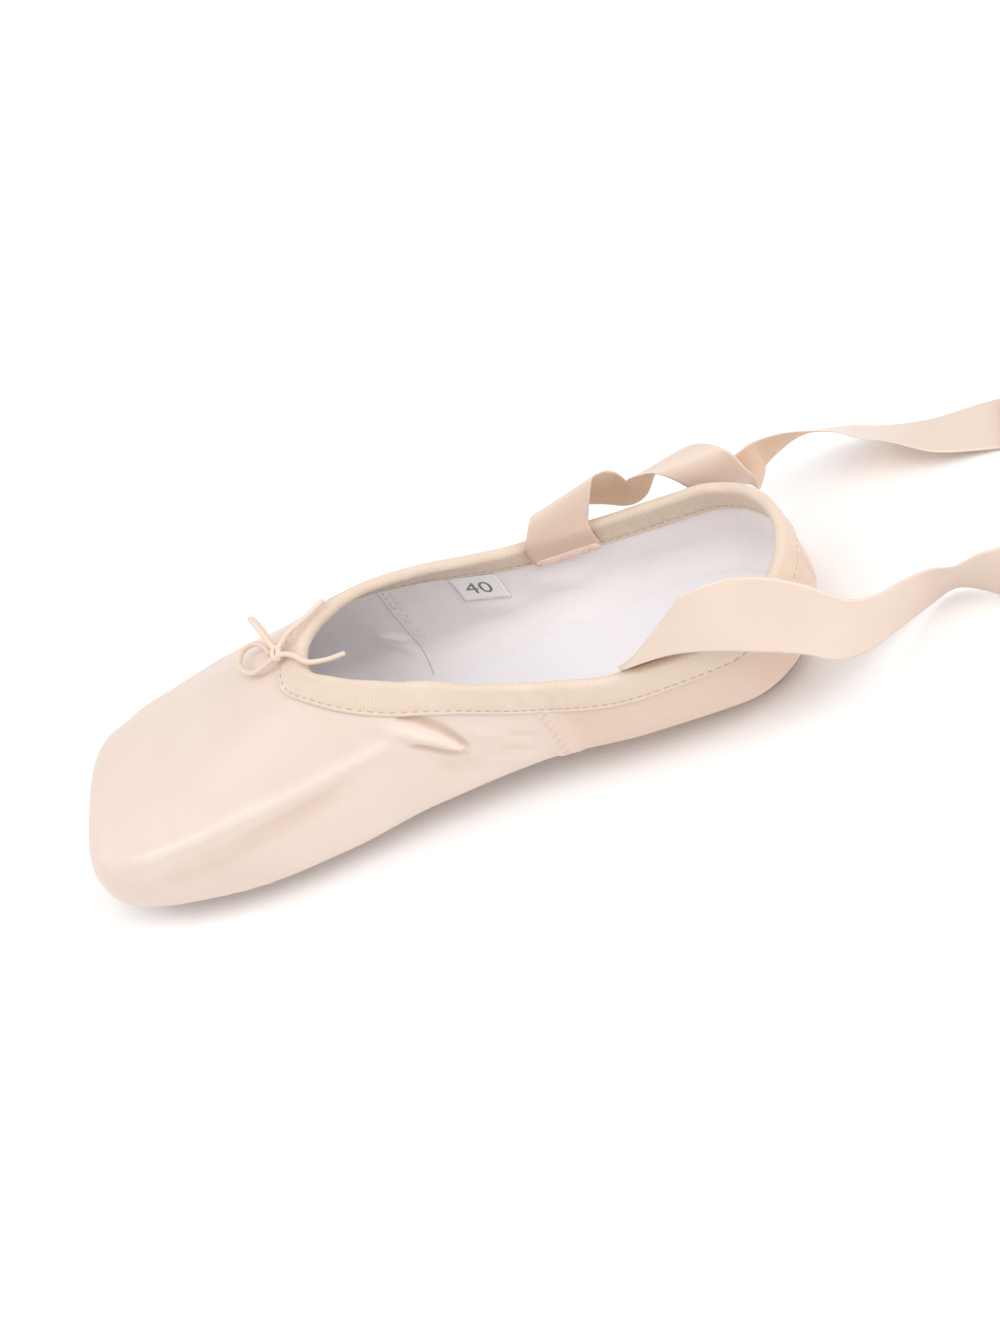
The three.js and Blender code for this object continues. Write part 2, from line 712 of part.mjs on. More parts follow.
const shoe = new THREE.Group();
shoe.add(piece("upper", upperGeometry(), COLOURS.satin, 0.42));
shoe.add(piece("outsole", outsoleGeometry(), COLOURS.leather, 0.75));
shoe.add(piece("insole", insoleGeometry(), COLOURS.insole, 0.9));
shoe.add(piece("binding", bindingGeometry(), COLOURS.binding, 0.8));
shoe.add(piece("ribbon_far", ribbonGeometry(FAR_RIBBON), COLOURS.ribbon, 0.4));
shoe.add(piece("ribbon_near", ribbonGeometry(NEAR_RIBBON), COLOURS.ribbon, 0.4));
shoe.add(piece("size_tag", tagGeometry(), COLOURS.tag, 0.8));
shoe.add(piece("drawstring_knot", knotGeometry(), COLOURS.cord, 0.7));
for (const [name, route] of Object.entries(BOW_STRANDS)) {
  shoe.add(piece(name, cordGeometry(route), COLOURS.cord, 0.7));
}
shoe.position.x = -HEEL_SEAT_AT;

export default shoe;
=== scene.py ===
"""Pointe shoe with sewn ribbons and a drawstring bow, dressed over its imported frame.

Shapes are worked out in millimetres in the shoe's own measure: at runs from the back
of the heel to the toe, y toward the wearer's left, z up from the floor.
"""
import math

import bmesh
import bpy
import numpy as np
from mathutils import Matrix, Vector


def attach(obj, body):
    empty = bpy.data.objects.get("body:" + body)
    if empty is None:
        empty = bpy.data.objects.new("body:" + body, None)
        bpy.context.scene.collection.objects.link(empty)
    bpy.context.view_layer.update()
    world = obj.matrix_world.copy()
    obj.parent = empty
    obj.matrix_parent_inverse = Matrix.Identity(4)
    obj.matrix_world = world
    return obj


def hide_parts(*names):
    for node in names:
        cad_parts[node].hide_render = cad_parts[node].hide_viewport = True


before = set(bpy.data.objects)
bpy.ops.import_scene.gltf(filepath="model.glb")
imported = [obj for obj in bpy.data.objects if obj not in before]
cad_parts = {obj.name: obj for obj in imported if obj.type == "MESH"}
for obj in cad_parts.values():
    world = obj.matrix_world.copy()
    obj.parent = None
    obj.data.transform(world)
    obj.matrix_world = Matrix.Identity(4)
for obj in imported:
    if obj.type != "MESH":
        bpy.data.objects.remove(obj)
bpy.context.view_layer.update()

bl_info = {
    "name": "Pointe shoe",
    "version": (1, 0, 0),
    "blender": (4, 5, 0),
    "location": "View3D > Sidebar > Pointe shoe",
    "description": "Makes a satin pointe shoe with its ribbons and drawstring bow",
    "category": "Add Mesh",
}

MILLIMETRE = 0.001
HALVINGS = 34
LINE_POINTS = 240

# The last and the wall of the upper
HEEL_SEAT_AT = 45.0
SHOE_LENGTH = 265.0
THROAT_AT = 166.0
HEEL_ROUNDING = 31.5
HEEL_ROUNDNESS = 2.2
PLATFORM_SETBACK = 12.0
PLATFORM_SIDE_ROUNDING = 12.0
PLATFORM_EDGE_ROUNDING = 8.0
QUARTER_WALL = 2.0
BOX_WALL = 3.4
WALL_CHANGES_FROM = 140.0
WALL_CHANGES_TO = 205.0
HEEL_FOCUS = 32.0
TOE_FOCUS = SHOE_LENGTH - 30.0
FOOT_REACH = 120.0

# The soles
SOLE_ROUNDING = 20.0
SOLE_TURN_IN = 6.0
SOLE_THICKNESS = 2.6
SOLE_EDGE_THICKNESS = 3.4
SOLE_CLEAR = 0.12
CHANNEL_FROM_EDGE = 3.6
CHANNEL_HALF_WIDTH = 0.45
CHANNEL_DEPTH = 0.4
INSOLE_ROUNDING = 26.0
INSOLE_THICKNESS = 1.6
INSOLE_CLEAR = 0.35
SOLE_CLOTH = (0.06, 0.25)

# The satin and the lining
SATIN_COLUMNS = 560
SATIN_ROWS = 118
SATIN_BACK_DEPTH = 1.5
LINING_COLUMNS = 400
LINING_ROWS = 90
LINING_BACK_DEPTH = 0.3
BACK_ROWS = 30
WALL_CLOTH = (0.2, 0.6)
DEEPEST_TROUGH = 1.35
PLEAT_HEIGHT = 0.7
PLEATS_TURN_AT = 214.0
SIDE_SEAM_AT = 94.0
SIDE_LAP = 0.5
BACK_SEAM_DEPTH = 0.55

# The binding
BINDING_STEPS = 20
COLUMNS_PER_RIB = 6
RIB_HEIGHT = 0.065
BINDING_SLACK = 0.25
STITCH_LINE = 1.4
STITCH_THICKNESS = 0.36

# The ribbons
RIBBON_STRANDS = 20
RIBBON_STEPS = 14
RIBBON_FOLD_RADIUS = 2.0
RIBBON_FOLD_SETTLES = 16.0
RIBBON_LAYER = 0.9
RIBBON_TAIL_DRIFT = 1.1
RIBBON_TAIL_RUNS = 3
HEM_HEIGHT = 4.6
HEM_THICKNESS = 1.3
HEM_CLEAR = 0.1
HEM_STITCHES = 19

# The tag
TAG_FROM_AT = 104.5
TAG_WIDTH = 15.0
TAG_TOP = 10.6
TAG_BOTTOM = 26.6
TAG_CLEAR = 0.55
TAG_THICKNESS = 0.3
TAG_CURL = 0.5

# The seams
SEWING_COLUMNS = 280
SEWING_STEPS = 20
SIDE_STITCHES_AT = 91.5
SIDE_STITCHES = 15
WING_SEAM_AT = 142.2
WING_SEAM_TOP = 9.0
WING_SEAM_BOTTOM = 64.0
WING_SEAM_LEAN = 1.5
WING_SEAM_BOW = 3.2
WING_SEAM_DIAMETER = 0.5
WING_STITCHES = 19

# The camera, in degrees and metres, and what it aims at, in pixels of the frame
FRAME_WIDTH, FRAME_HEIGHT = 1000.0, 1333.0
CAMERA_TURN = 24.0
CAMERA_HEIGHT = 42.0
CAMERA_ROLL = 35.5
CAMERA_DISTANCE = 1.29
CAMERA_LOOKS_AT = (0.087, 0.0, 0.025)
CAMERA_FOCUS = 3870.0
CAMERA_AIM = (442.0, 696.0)
SENSOR = 36.0
SHEEN = (1.0, 0.93, 0.88, 1.0)


def table(names, *rows):
    """Rows with a name to each of their values."""
    return [dict(zip(names.split(), row)) for row in rows]


# The last, cut across, a row per station
LAST = table(
    "at half_width widest top bottom crown base",
    (0, 30.3, 22, 88, 3.0, 2.2, 2.6), (30, 37.2, 22, 86, 3.0, 2.2, 2.6),
    (65, 38.4, 22, 80, 4.0, 2.2, 2.4), (100, 35.7, 21, 74, 6.5, 2.2, 2.3),
    (140, 38.0, 19, 71, 6.0, 2.3, 2.4), (175, 42.6, 18, 60.4, 3.2, 2.4, 2.8),
    (205, 45.0, 18, 48.5, 3.0, 2.6, 3.0), (235, 42.0, 18, 39.0, 4.0, 2.8, 3.0),
    (265, 33.0, 19, 34.0, 6.0, 2.8, 3.0),
)
COLLAR = table(
    "at height",
    (4, 45.0), (25, 42.0), (55, 41.8), (95, 48.0), (130, 60.0), (155, 64.8),
)
SOLE = table(
    "at half_width lift",
    (8, 22, 0.0), (40, 24, 0.0), (82, 20, 0.0), (122, 15, 3.2), (166, 23, 0.0), (196, 28, 0.0),
    (222, 27, 0.0), (246, 22, 1.2),
)
INSOLE = table(
    "at half_width",
    (10, 24), (45, 28), (85, 25), (125, 23), (165, 29), (205, 32), (248, 25),
)

# Soft ridges and troughs of the satin. height is outward, width and end_width are how
# far one spreads at its start and its end, and starts and ends are the shares of its
# length over which it fades.
SIDES = {"near": (1,), "far": (-1,), "both": (1, -1)}
FOLD_PARTS = "side height width end_width starts ends route"
CREASES = table(
    FOLD_PARTS,
    ("both", 1.15, 2.7, 2.7, 0.1, 0.07,
     [(252, 32.5, 29.5), (231, 35.9, 33.6), (216, 37.6, 36.3), (198, 38.0, 39.8), (184, 38.0, 41.3),
      (166, 36.6, 43.7), (150, 34.9, 45.6), (138, 33.5, 47.0)]),
    ("both", -0.35, 2.4, 2.4, 0.2, 0.15,
     [(246, 35.5, 26), (216, 40, 31.5), (190, 40.5, 36), (166, 38.3, 39.5), (148, 36.5, 42)]),
    ("both", -0.5, 4.4, 4.4, 0.15, 0.3,
     [(246, 37.5, 23), (216, 42, 27), (190, 41.5, 32), (166, 39, 36), (146, 37, 38)]),
    ("both", 1.8, 4.4, 0.7, 0.55, 0.03,
     [(149, 27.5, 55.0), (143, 30.2, 52.4), (137, 32.4, 49.0), (131.3, 33.9, 44.4),
      (126.3, 34.9, 39.4), (120.8, 35.8, 33.6)]),
    ("both", -1.5, 3.0, 1.2, 0.1, 0.12,
     [(136.5, 30.8, 54.5), (130.1, 32.7, 50.5), (124.3, 34.0, 44.4), (121.2, 35.0, 38.6),
      (118.6, 35.9, 32.2)]),
    ("both", -1.4, 1.3, 0.8, 0.35, 0.05,
     [(139.5, 34.2, 44.2), (132, 35.1, 39.8), (126.2, 35.9, 34.9), (119.8, 36.2, 31.2)]),
    ("both", -0.45, 5.5, 5.5, 0.3, 0.4,
     [(138, 36.5, 37), (126, 36.5, 28.5), (112, 36, 25), (98, 35.5, 24)]),
    ("both", -0.6, 1.5, 1.5, 0.3, 0.4,
     [(118, 34.8, 44), (113, 35.2, 41), (108, 35.3, 39.5)]),
    ("both", 0.6, 2.0, 2.0, 0.3, 0.4,
     [(117, 35, 39), (110, 35.3, 35.5), (102, 35.6, 33.5)]),
    ("both", -0.55, 1.3, 1.3, 0.3, 0.3,
     [(108, 34.9, 36.6), (103.3, 35.2, 32.2), (98.9, 35.4, 30.1), (95.6, 35.7, 26.5)]),
    ("both", -0.5, 1.4, 1.4, 0.4, 0.3,
     [(113, 36, 30), (106, 36, 27), (98, 36, 22)]),
    ("both", 0.45, 2.2, 2.2, 0.4, 0.4,
     [(121, 36.3, 28), (110, 36.2, 22.5), (99, 35.8, 17)]),
    ("near", -0.3, 2.6, 2.6, 0.2, 0.5,
     [(160, 17, 62), (172, 24, 55), (186, 30, 48)]),
    ("near", 0.25, 4.5, 4.5, 0.2, 0.5,
     [(166, 14, 61), (186, 18, 54), (212, 20, 44)]),
    ("far", 0.3, 5.0, 5.0, 0.2, 0.5,
     [(168, -15, 60), (192, -20, 52), (224, -24, 40)]),
    ("both", -0.35, 2.6, 2.6, 0.3, 0.5,
     [(84, 37, 36), (80, 38, 28), (74, 38.6, 18)]),
    ("both", -0.3, 3.0, 3.0, 0.3, 0.5,
     [(60, 37.6, 34), (58, 38.4, 24), (52, 38, 12)]),
    ("both", -0.3, 2.8, 2.8, 0.3, 0.5,
     [(36, 36, 34), (32, 37, 24), (30, 36, 12)]),
)

# The same for the lining, where height is into the shoe
LINING_FOLDS = table(
    FOLD_PARTS,
    ("far", 1.0, 1.8, 1.8, 0.4, 0.15,
     [(157.4, -37.2, 27), (151.4, -37, 23), (145.9, -36, 19)]),
    ("far", 0.9, 1.6, 1.6, 0.3, 0.15,
     [(158.2, -37.3, 24), (151.4, -36.4, 18.5), (145.4, -34, 14.2)]),
    ("far", 0.8, 5.0, 5.0, 0.4, 0.4,
     [(128, -34, 33), (112, -34, 24), (96, -34, 18)]),
    ("far", 0.7, 4.0, 4.0, 0.4, 0.4,
     [(100, -33, 32), (84, -35, 22), (70, -35, 16)]),
    ("far", 0.6, 6.0, 6.0, 0.4, 0.4,
     [(66, -35.5, 34), (52, -36, 26), (38, -35, 22)]),
    ("near", 0.6, 5.0, 5.0, 0.4, 0.4,
     [(120, 34, 36), (98, 34, 26), (78, 35, 18)]),
)

# Both edges of each ribbon, a row per bend, in the shoe's measure. toe_edge is the
# edge on the toe's side where the ribbon is sewn down.
FAR_RIBBON = table(
    "toe_edge heel_edge",
    ((90.4, -30.9, 38.5), (67.6, -33.2, 35.5)), ((89.9, -28.9, 46.5), (67.1, -31.4, 43.5)),
    ((88, -29.3, 51), (66.2, -33, 48.6)), ((84, -33, 56.3), (59.9, -38, 59.4)),
    ((82, -38, 53.4), (57.7, -41.3, 58.3)), ((76, -45, 46.5), (55.8, -42.8, 56.8)),
    ((66.3, -50.5, 36.8), (53.3, -43, 54.2)), ((58.9, -53.5, 29.2), (51.9, -43.4, 49.2)),
    ((52, -54.5, 30), (51, -42, 50.4)), ((44.9, -54.5, 38), (49.3, -40.5, 52.4)),
    ((36.2, -53.5, 43.6), (46.2, -40.3, 52.4)), ((28.2, -52, 46.2), (42.2, -40.5, 51)),
    ((20.8, -47.5, 47), (37.5, -41, 45.5)), ((16.3, -44.5, 44), (34, -42, 37.5)),
    ((14.7, -45, 35), (31.5, -43.5, 28.5)), ((14.5, -49, 26.5), (28, -47, 24)),
    ((16.3, -52, 17.4), (20, -48.5, 36)), ((13.1, -56, 19.8), (13.3, -50, 39.2)),
    ((11.5, -60, 20.3), (8, -52, 38.4)), ((0.3, -64, 22.8), (-1.9, -53, 36.2)),
    ((-6.8, -71.8, 15), (-12.8, -57, 27.4)), ((-16.3, -74.5, 9.5), (-21, -54.8, 21.8)),
    ((-26, -75.5, 4), (-29, -55.3, 15.2)), ((-42, -73, 1.8), (-42.7, -51.2, 7.6)),
    ((-61, -72.5, 1.2), (-61, -49.5, 1.7)), ((-70, -71.5, 0.8), (-70, -48.5, 0.8)),
)
NEAR_RIBBON = table(
    "toe_edge heel_edge",
    ((61.5, 33.3, 34.5), (38.5, 33, 34.5)), ((61.4, 32.3, 41), (38.2, 31.9, 42)),
    ((61, 34, 45.2), (37, 31.8, 50)), ((59.5, 36.6, 46), (34.6, 31.4, 59.8)),
    ((55.5, 38.4, 47.6), (32.4, 31.6, 63.2)), ((48, 39.6, 48.8), (29, 31.2, 64)),
    ((40, 40.8, 49.2), (24.2, 30.3, 63.8)), ((31, 42.3, 47.8), (19.6, 29.5, 62.8)),
    ((21.8, 44.2, 45.4), (14.2, 28.9, 61.4)), ((8.7, 47.5, 42), (3.1, 31.7, 58.7)),
    ((0, 49, 38), (-6.9, 35.4, 54)), ((-5, 47.2, 31), (-14.2, 37.8, 47.4)),
    ((-9.4, 40.3, 22.2), (-18.6, 35.7, 41.2)), ((-14.3, 32.2, 14.5), (-23.7, 29.8, 34.8)),
    ((-22, 20.4, 7.2), (-30, 21.6, 28.5)), ((-31.6, 10.7, 3.1), (-38.4, 16.3, 24.1)),
    ((-41.7, 6.9, 2.7), (-46.3, 17.1, 22.7)), ((-53.8, 13.8, 1.2), (-56.2, 16.2, 23.8)),
    ((-68, 26.8, 0.9), (-68, 15.2, 20.1)), ((-80, 36, 0.9), (-80, 14, 7.9)),
    ((-92, 37.5, 1), (-92, 14.5, 1.6)), ((-100, 37.5, 0.8), (-100, 14.5, 0.8)),
)

# The drawstring, each half from the knot round its loop, back through the knot
# and out to its end
KNOT_AT = (173.2, -3.0, 65.0)
DRAWSTRING_ROUND = [
    (176.2, -5.1, 64.2), (179.3, -11.5, 62.2), (184, -17, 59.8), (189.5, -18.6, 57.6),
    (191.8, -14.5, 56.7), (189.8, -9.0, 57.4), (185.2, -4.3, 59.4), (180.5, -2.6, 61.8),
    (176.9, -2.1, 63.8), (173.4, -1.7, 65.3), (170.2, -1.2, 65.9), (166, 2, 66.6),
    (161.3, 6.5, 66.2), (155, 7.2, 65), (148.7, 5.7, 63.6),
]
DRAWSTRING_NARROW = [
    (174, -6.3, 63.5), (176.9, -12.4, 63.4), (179.4, -18, 63.8), (181.6, -22, 65.2),
    (182.4, -21.5, 67), (180.5, -18, 67.4), (177.5, -12, 66.9), (174.4, -6.1, 66),
    (172.8, -5.0, 66.0), (171.7, -5.9, 65.9), (168.2, -8.8, 67.1), (162, -11.6, 68),
    (154, -16.7, 68.6),
]


class Column:
    """A smooth curve through one column of a table that never overshoots its rows."""

    def __init__(self, rows, name):
        self.at = np.array([row["at"] for row in rows], float)
        self.value = np.array([row[name] for row in rows], float)
        self.step = np.diff(self.at)
        rise = np.diff(self.value) / self.step
        before = 2 * self.step[1:] + self.step[:-1]
        after = self.step[1:] + 2 * self.step[:-1]
        turns = rise[:-1] * rise[1:] <= 0
        safe_before = np.where(turns, 1.0, rise[:-1])
        safe_after = np.where(turns, 1.0, rise[1:])
        mean = (before + after) / (before / safe_before + after / safe_after)
        self.slope = np.concatenate([rise[:1], np.where(turns, 0.0, mean), rise[-1:]])

    def __call__(self, place):
        x = np.clip(place, self.at[0], self.at[-1])
        i = np.clip(np.searchsorted(self.at, x, side="right") - 1, 0, len(self.step) - 1)
        h = self.step[i]
        t = (x - self.at[i]) / h
        t2 = t * t
        t3 = t2 * t
        return (
            self.value[i] * (2 * t3 - 3 * t2 + 1)
            + self.slope[i] * h * (t3 - 2 * t2 + t)
            + self.value[i + 1] * (3 * t2 - 2 * t3)
            + self.slope[i + 1] * h * (t3 - t2)
        )


LAST_COLUMN = {name: Column(LAST, name) for name in LAST[0] if name != "at"}
COLLAR_HEIGHT = Column(
    [*COLLAR, {"at": THROAT_AT, "height": float(LAST_COLUMN["top"](THROAT_AT))}], "height"
)


def smoothstep(value, low, high):
    """0 at low, 1 at high, and smooth in between."""
    t = np.clip((value - low) / (high - low), 0, 1)
    return t * t * (3 - 2 * t)


def squarer(wave, power):
    """A sine wave with fuller shoulders, the fuller the smaller the power."""
    return np.sign(wave) * np.abs(wave) ** power


def unit(vectors):
    """Vectors of length 1."""
    return vectors / np.maximum(np.linalg.norm(vectors, axis=-1, keepdims=True), 1e-9)


def closed_round(rows):
    """Rows with the first one again at their end."""
    return np.concatenate([rows, rows[:1]])


def read_line(wanted, places, points):
    """Points of a line, read where its places have the wanted values."""
    return np.stack([np.interp(wanted, places, points[:, k]) for k in range(3)], axis=-1)


def rounded_end(distance, length):
    """How much a rounded end takes off, from 0 at its tip to 1 past the rounding."""
    left = np.clip(1 - distance / length, 0, 1)
    return np.maximum(1 - left**HEEL_ROUNDNESS, 0) ** (1 / HEEL_ROUNDNESS)


def section(at):
    """One cross-section of the last: widest, half width, above, below, crown, base."""
    heel = rounded_end(at, HEEL_ROUNDING)
    to_platform = np.clip((SHOE_LENGTH - at) / PLATFORM_SETBACK, 0, 1)
    eased = 1 - np.sqrt(np.maximum(1 - (1 - to_platform) ** 2, 0))
    edge = eased * PLATFORM_EDGE_ROUNDING
    widest = LAST_COLUMN["widest"](at)
    half_width = (LAST_COLUMN["half_width"](at) - eased * PLATFORM_SIDE_ROUNDING) * heel
    above = (LAST_COLUMN["top"](at) - widest - edge) * heel
    below = (widest - LAST_COLUMN["bottom"](at) - edge) * heel
    return (
        widest,
        *(np.maximum(reach, 1e-3) for reach in (half_width, above, below)),
        LAST_COLUMN["crown"](at),
        LAST_COLUMN["base"](at),
    )


def inside_last(points):
    """Which points lie inside the last."""
    at = points[..., 0]
    widest, half_width, above, below, crown, base = section(at)
    up = points[..., 2] >= widest
    power = np.where(up, crown, base)
    reach = np.where(up, above, below)
    across = (np.abs(points[..., 1]) / half_width) ** power
    height = (np.abs(points[..., 2] - widest) / reach) ** power
    return (across + height < 1) & (at >= 0) & (at <= SHOE_LENGTH)


def underside(at, y):
    """Height of the last's underside."""
    widest, half_width, _, below, _, base = section(at)
    across = np.minimum(np.abs(y) / half_width, 1)
    return widest - below * np.maximum(1 - across**base, 0) ** (1 / base)


def onto_last(points):
    """Points pushed straight out from the middle of the foot onto the last."""
    at = np.clip(points[..., 0], HEEL_FOCUS, TOE_FOCUS)
    middle = np.stack([at, np.zeros_like(at), LAST_COLUMN["widest"](at)], axis=-1)
    way = unit(points - middle)
    near = np.zeros_like(at)
    far = np.full_like(at, FOOT_REACH)
    for _ in range(HALVINGS):
        half = (near + far) / 2
        within = inside_last(middle + way * half[..., None])
        near = np.where(within, half, near)
        far = np.where(within, far, half)
    return middle + way * near[..., None]


def wall_thickness(at):
    """Thickness of the upper's wall."""
    forward = smoothstep(at, WALL_CHANGES_FROM, WALL_CHANGES_TO)
    return QUARTER_WALL + (BOX_WALL - QUARTER_WALL) * forward


def eased_places(start, end, count):
    """Places from one end to the other that crowd together at both ends."""
    return start + (end - start) * (0.5 - 0.5 * np.cos(np.pi * np.arange(count + 1) / count))


class Line:
    """A line that is read by the share of its length."""

    def __init__(self, points):
        self.points = np.array(points, float)
        steps = np.linalg.norm(np.diff(self.points, axis=0), axis=1)
        self.length = np.concatenate([[0.0], np.cumsum(steps)])
        self.total = self.length[-1]

    def point(self, share):
        return read_line(np.clip(share, 0, 1) * self.total, self.length, self.points)

    def share_at(self, at):
        i = int(np.argmax(self.points[:, 0] >= at))
        span = self.points[i, 0] - self.points[i - 1, 0]
        part = (at - self.points[i - 1, 0]) / (span or 1)
        return (self.length[i - 1] + part * (self.length[i] - self.length[i - 1])) / self.total


class Outline:
    """Half width of a sole-like outline with both its ends rounded."""

    def __init__(self, rows, rounding, narrower=0.0):
        self.width = Column([{**row, "half_width": row["half_width"] - narrower} for row in rows],
                            "half_width")
        self.start = float(rows[0]["at"])
        self.end = float(rows[-1]["at"])
        self.rounding = rounding

    def __call__(self, at):
        ends = rounded_end(at - self.start, self.rounding) * rounded_end(self.end - at, self.rounding)
        return self.width(at) * ends

    def across(self, count, fullness, around):
        """Places along the outline, and how far out each point round it lies there."""
        at = eased_places(self.start, self.end, count)
        half = self(at)[:, None]
        y = half * squarer(np.cos(around), fullness)[None]
        return np.broadcast_to(at[:, None], y.shape), y, half


SOLE_OUTLINE = Outline(SOLE, SOLE_ROUNDING)
SOLE_OPENING = Outline(SOLE, SOLE_ROUNDING, SOLE_TURN_IN)
INSOLE_OUTLINE = Outline(INSOLE, INSOLE_ROUNDING)
SOLE_LIFT = Column(SOLE, "lift")


def widest_line():
    """The shoe's widest line, from the heel to the middle of the platform."""
    at = eased_places(0, SHOE_LENGTH, LINE_POINTS)
    widest, half_width = section(at)[:2]
    half_width[0] = 0
    side = np.stack([at, half_width, widest], axis=-1)
    share = np.linspace(0, 1, 25)[1:, None]
    corner = side[-1]
    face = np.array([SHOE_LENGTH, 0, corner[2]]) * share + corner * (1 - share)
    return Line(np.concatenate([side, face]))


def collar_line():
    """The collar's edge, from the back of the heel to the throat."""
    low, high = 0.0, HEEL_ROUNDING
    for _ in range(HALVINGS):
        half = (low + high) / 2
        widest, _, above = section(np.array(half))[:3]
        if above < COLLAR_HEIGHT(half) - widest:
            low = half
        else:
            high = half
    at = eased_places(high, THROAT_AT, LINE_POINTS)
    widest, half_width, above, _, crown, _ = section(at)
    height = COLLAR_HEIGHT(at)
    up = np.minimum((height - widest) / above, 1)
    y = half_width * np.maximum(1 - up**crown, 0) ** (1 / crown)
    y[0] = y[-1] = 0
    return Line(np.stack([at, y, height], axis=-1))


def sole_opening_line():
    """The edge of the opening that the outsole closes."""
    start, end = SOLE_OUTLINE.start, SOLE_OUTLINE.end
    squeeze = (end - start - 2 * SOLE_TURN_IN) / (end - start)
    at = eased_places(start, end, LINE_POINTS)
    place = start + SOLE_TURN_IN + (at - start) * squeeze
    y = SOLE_OPENING(at)
    return Line(np.stack([place, y, underside(place, y)], axis=-1))


class Skin:
    """Columns up the outside of the shoe, closed round it from the heel to the heel."""

    def __init__(self, count, steps=44, even_collar=False):
        widest, collar, opening = widest_line(), collar_line(), sole_opening_line()
        self.count = count
        half = count // 2
        share = np.arange(half + 1) / half
        if even_collar:
            fine = np.linspace(0, 1, 2001)
            share = np.interp(share, self.matched(widest, collar)(fine), fine)
        middle = widest.point(share)
        low = opening.point(self.matched(widest, opening)(share))
        high = collar.point(self.matched(widest, collar)(share))
        up = np.linspace(0, 1, steps + 1)[None, :, None]
        lower = low[:, None] * (1 - up) + middle[:, None] * up
        upper = middle[:, None] * (1 - up) + high[:, None] * up
        points = onto_last(np.concatenate([lower, upper[:, 1:]], axis=1))
        points[:, -1] = high
        points[[0, half], :, 1] = 0
        mirrored = points[1:half][::-1] * np.array([1, -1, 1])
        self.points = np.concatenate([points, mirrored])
        steps_up = np.linalg.norm(np.diff(self.points, axis=1), axis=2)
        self.length = np.concatenate([np.zeros((count, 1)), np.cumsum(steps_up, axis=1)], axis=1)
        self.total = self.length[:, -1]
        self.upward = unit(self.points[:, -1] - self.points[:, -2])
        along = np.roll(self.points, -1, axis=0) - np.roll(self.points, 1, axis=0)
        self.normals = unit(np.cross(np.gradient(self.points, axis=1), along))

    @staticmethod
    def matched(widest, line):
        rows = [{"at": 0, "share": 0}]
        rows += [{"at": widest.share_at(at), "share": line.share_at(at)} for at in (30, 75, 120)]
        rows += [{"at": 1, "share": 1}]
        return Column(rows, "share")

    def down(self, rows):
        """Even distances below the collar's edge, down to the sole's opening."""
        return self.total[:, None] * np.linspace(0, 1, rows + 1)[None]

    def read(self, below, offset=0.0):
        """Points at a distance below the collar's edge, pushed outward by offset.

        below and offset have a value per row, or a value per column and row."""
        below = np.array(np.broadcast_to(below, (self.count, np.shape(below)[-1])), float)
        wanted = np.clip(self.total[:, None] - below, 0, None)
        points = np.empty((*below.shape, 3))
        normals = np.empty((*below.shape, 3))
        for i in range(self.count):
            points[i] = read_line(wanted[i], self.length[i], self.points[i])
            normals[i] = read_line(wanted[i], self.length[i], self.normals[i])
        normals = unit(normals)
        points += self.upward[:, None] * np.maximum(-below, 0)[..., None]
        return points + normals * np.broadcast_to(offset, below.shape)[..., None], normals

    def inner(self, below, offset=0.0):
        """Points on the inner face, pushed by offset into the shoe."""
        points, normals = self.read(below)
        depth = wall_thickness(points[..., 0]) + offset
        return points - normals * depth[..., None], normals

    def place(self, at, below, side, offset=0.0, inside=False):
        """A point on one side of the shoe, with its outward normal and the way forward."""
        reader = self.inner if inside else self.read
        points, normals = reader(np.array([float(below)]), offset)
        half = self.count // 2
        order = np.arange(half + 1) if side > 0 else (self.count - np.arange(half + 1)) % self.count
        line, facing = points[order, 0], normals[order, 0]
        spot = read_line(at, line[:, 0], line)
        out = unit(read_line(at, line[:, 0], facing))
        return spot, out, unit(read_line(at + 1, line[:, 0], line) - spot)


def nearest_on(route, spots):
    """How far each spot is from a route, and the share of the route that lies behind it."""
    line = Line(route)
    gone = line.length / line.total
    best = np.full(len(spots), np.inf)
    where = np.zeros(len(spots))
    for k, ahead in enumerate(np.diff(line.points, axis=0)):
        part = np.clip((spots - line.points[k]) @ ahead / (ahead @ ahead), 0, 1)
        away = np.linalg.norm(spots - line.points[k] - part[:, None] * ahead, axis=1)
        nearer = away < best
        best = np.where(nearer, away, best)
        where = np.where(nearer, gone[k] + part * (gone[k + 1] - gone[k]), where)
    return best, where


def relief(points, folds):
    """Height of soft ridges and troughs at each point."""
    flat = points.reshape(-1, 3)
    total = np.zeros(len(flat))
    for fold in folds:
        for side in SIDES[fold["side"]]:
            route = np.array(fold["route"], float)
            route[:, 1] = np.abs(route[:, 1]) * side
            reach = 3 * max(fold["width"], fold["end_width"])
            low, high = route.min(axis=0) - reach, route.max(axis=0) + reach
            close = np.all((flat > low) & (flat < high), axis=1)
            if not close.any():
                continue
            away, where = nearest_on(route, flat[close])
            width = fold["width"] + (fold["end_width"] - fold["width"]) * where
            fade = smoothstep(where, 0, fold["starts"]) * smoothstep(1 - where, 0, fold["ends"])
            total[close] += fold["height"] * np.exp(-((away / width) ** 2)) * fade
    return total.reshape(points.shape[:-1])


def to_frame(points):
    """From the shoe's own measure to metres in the frame."""
    return (np.asarray(points, float) - np.array([HEEL_SEAT_AT, 0, 0])) * MILLIMETRE


def mesh_places(mesh):
    """Where a mesh's points are, in metres."""
    flat = np.empty(len(mesh.vertices) * 3)
    mesh.vertices.foreach_get("co", flat)
    return flat.reshape(-1, 3)


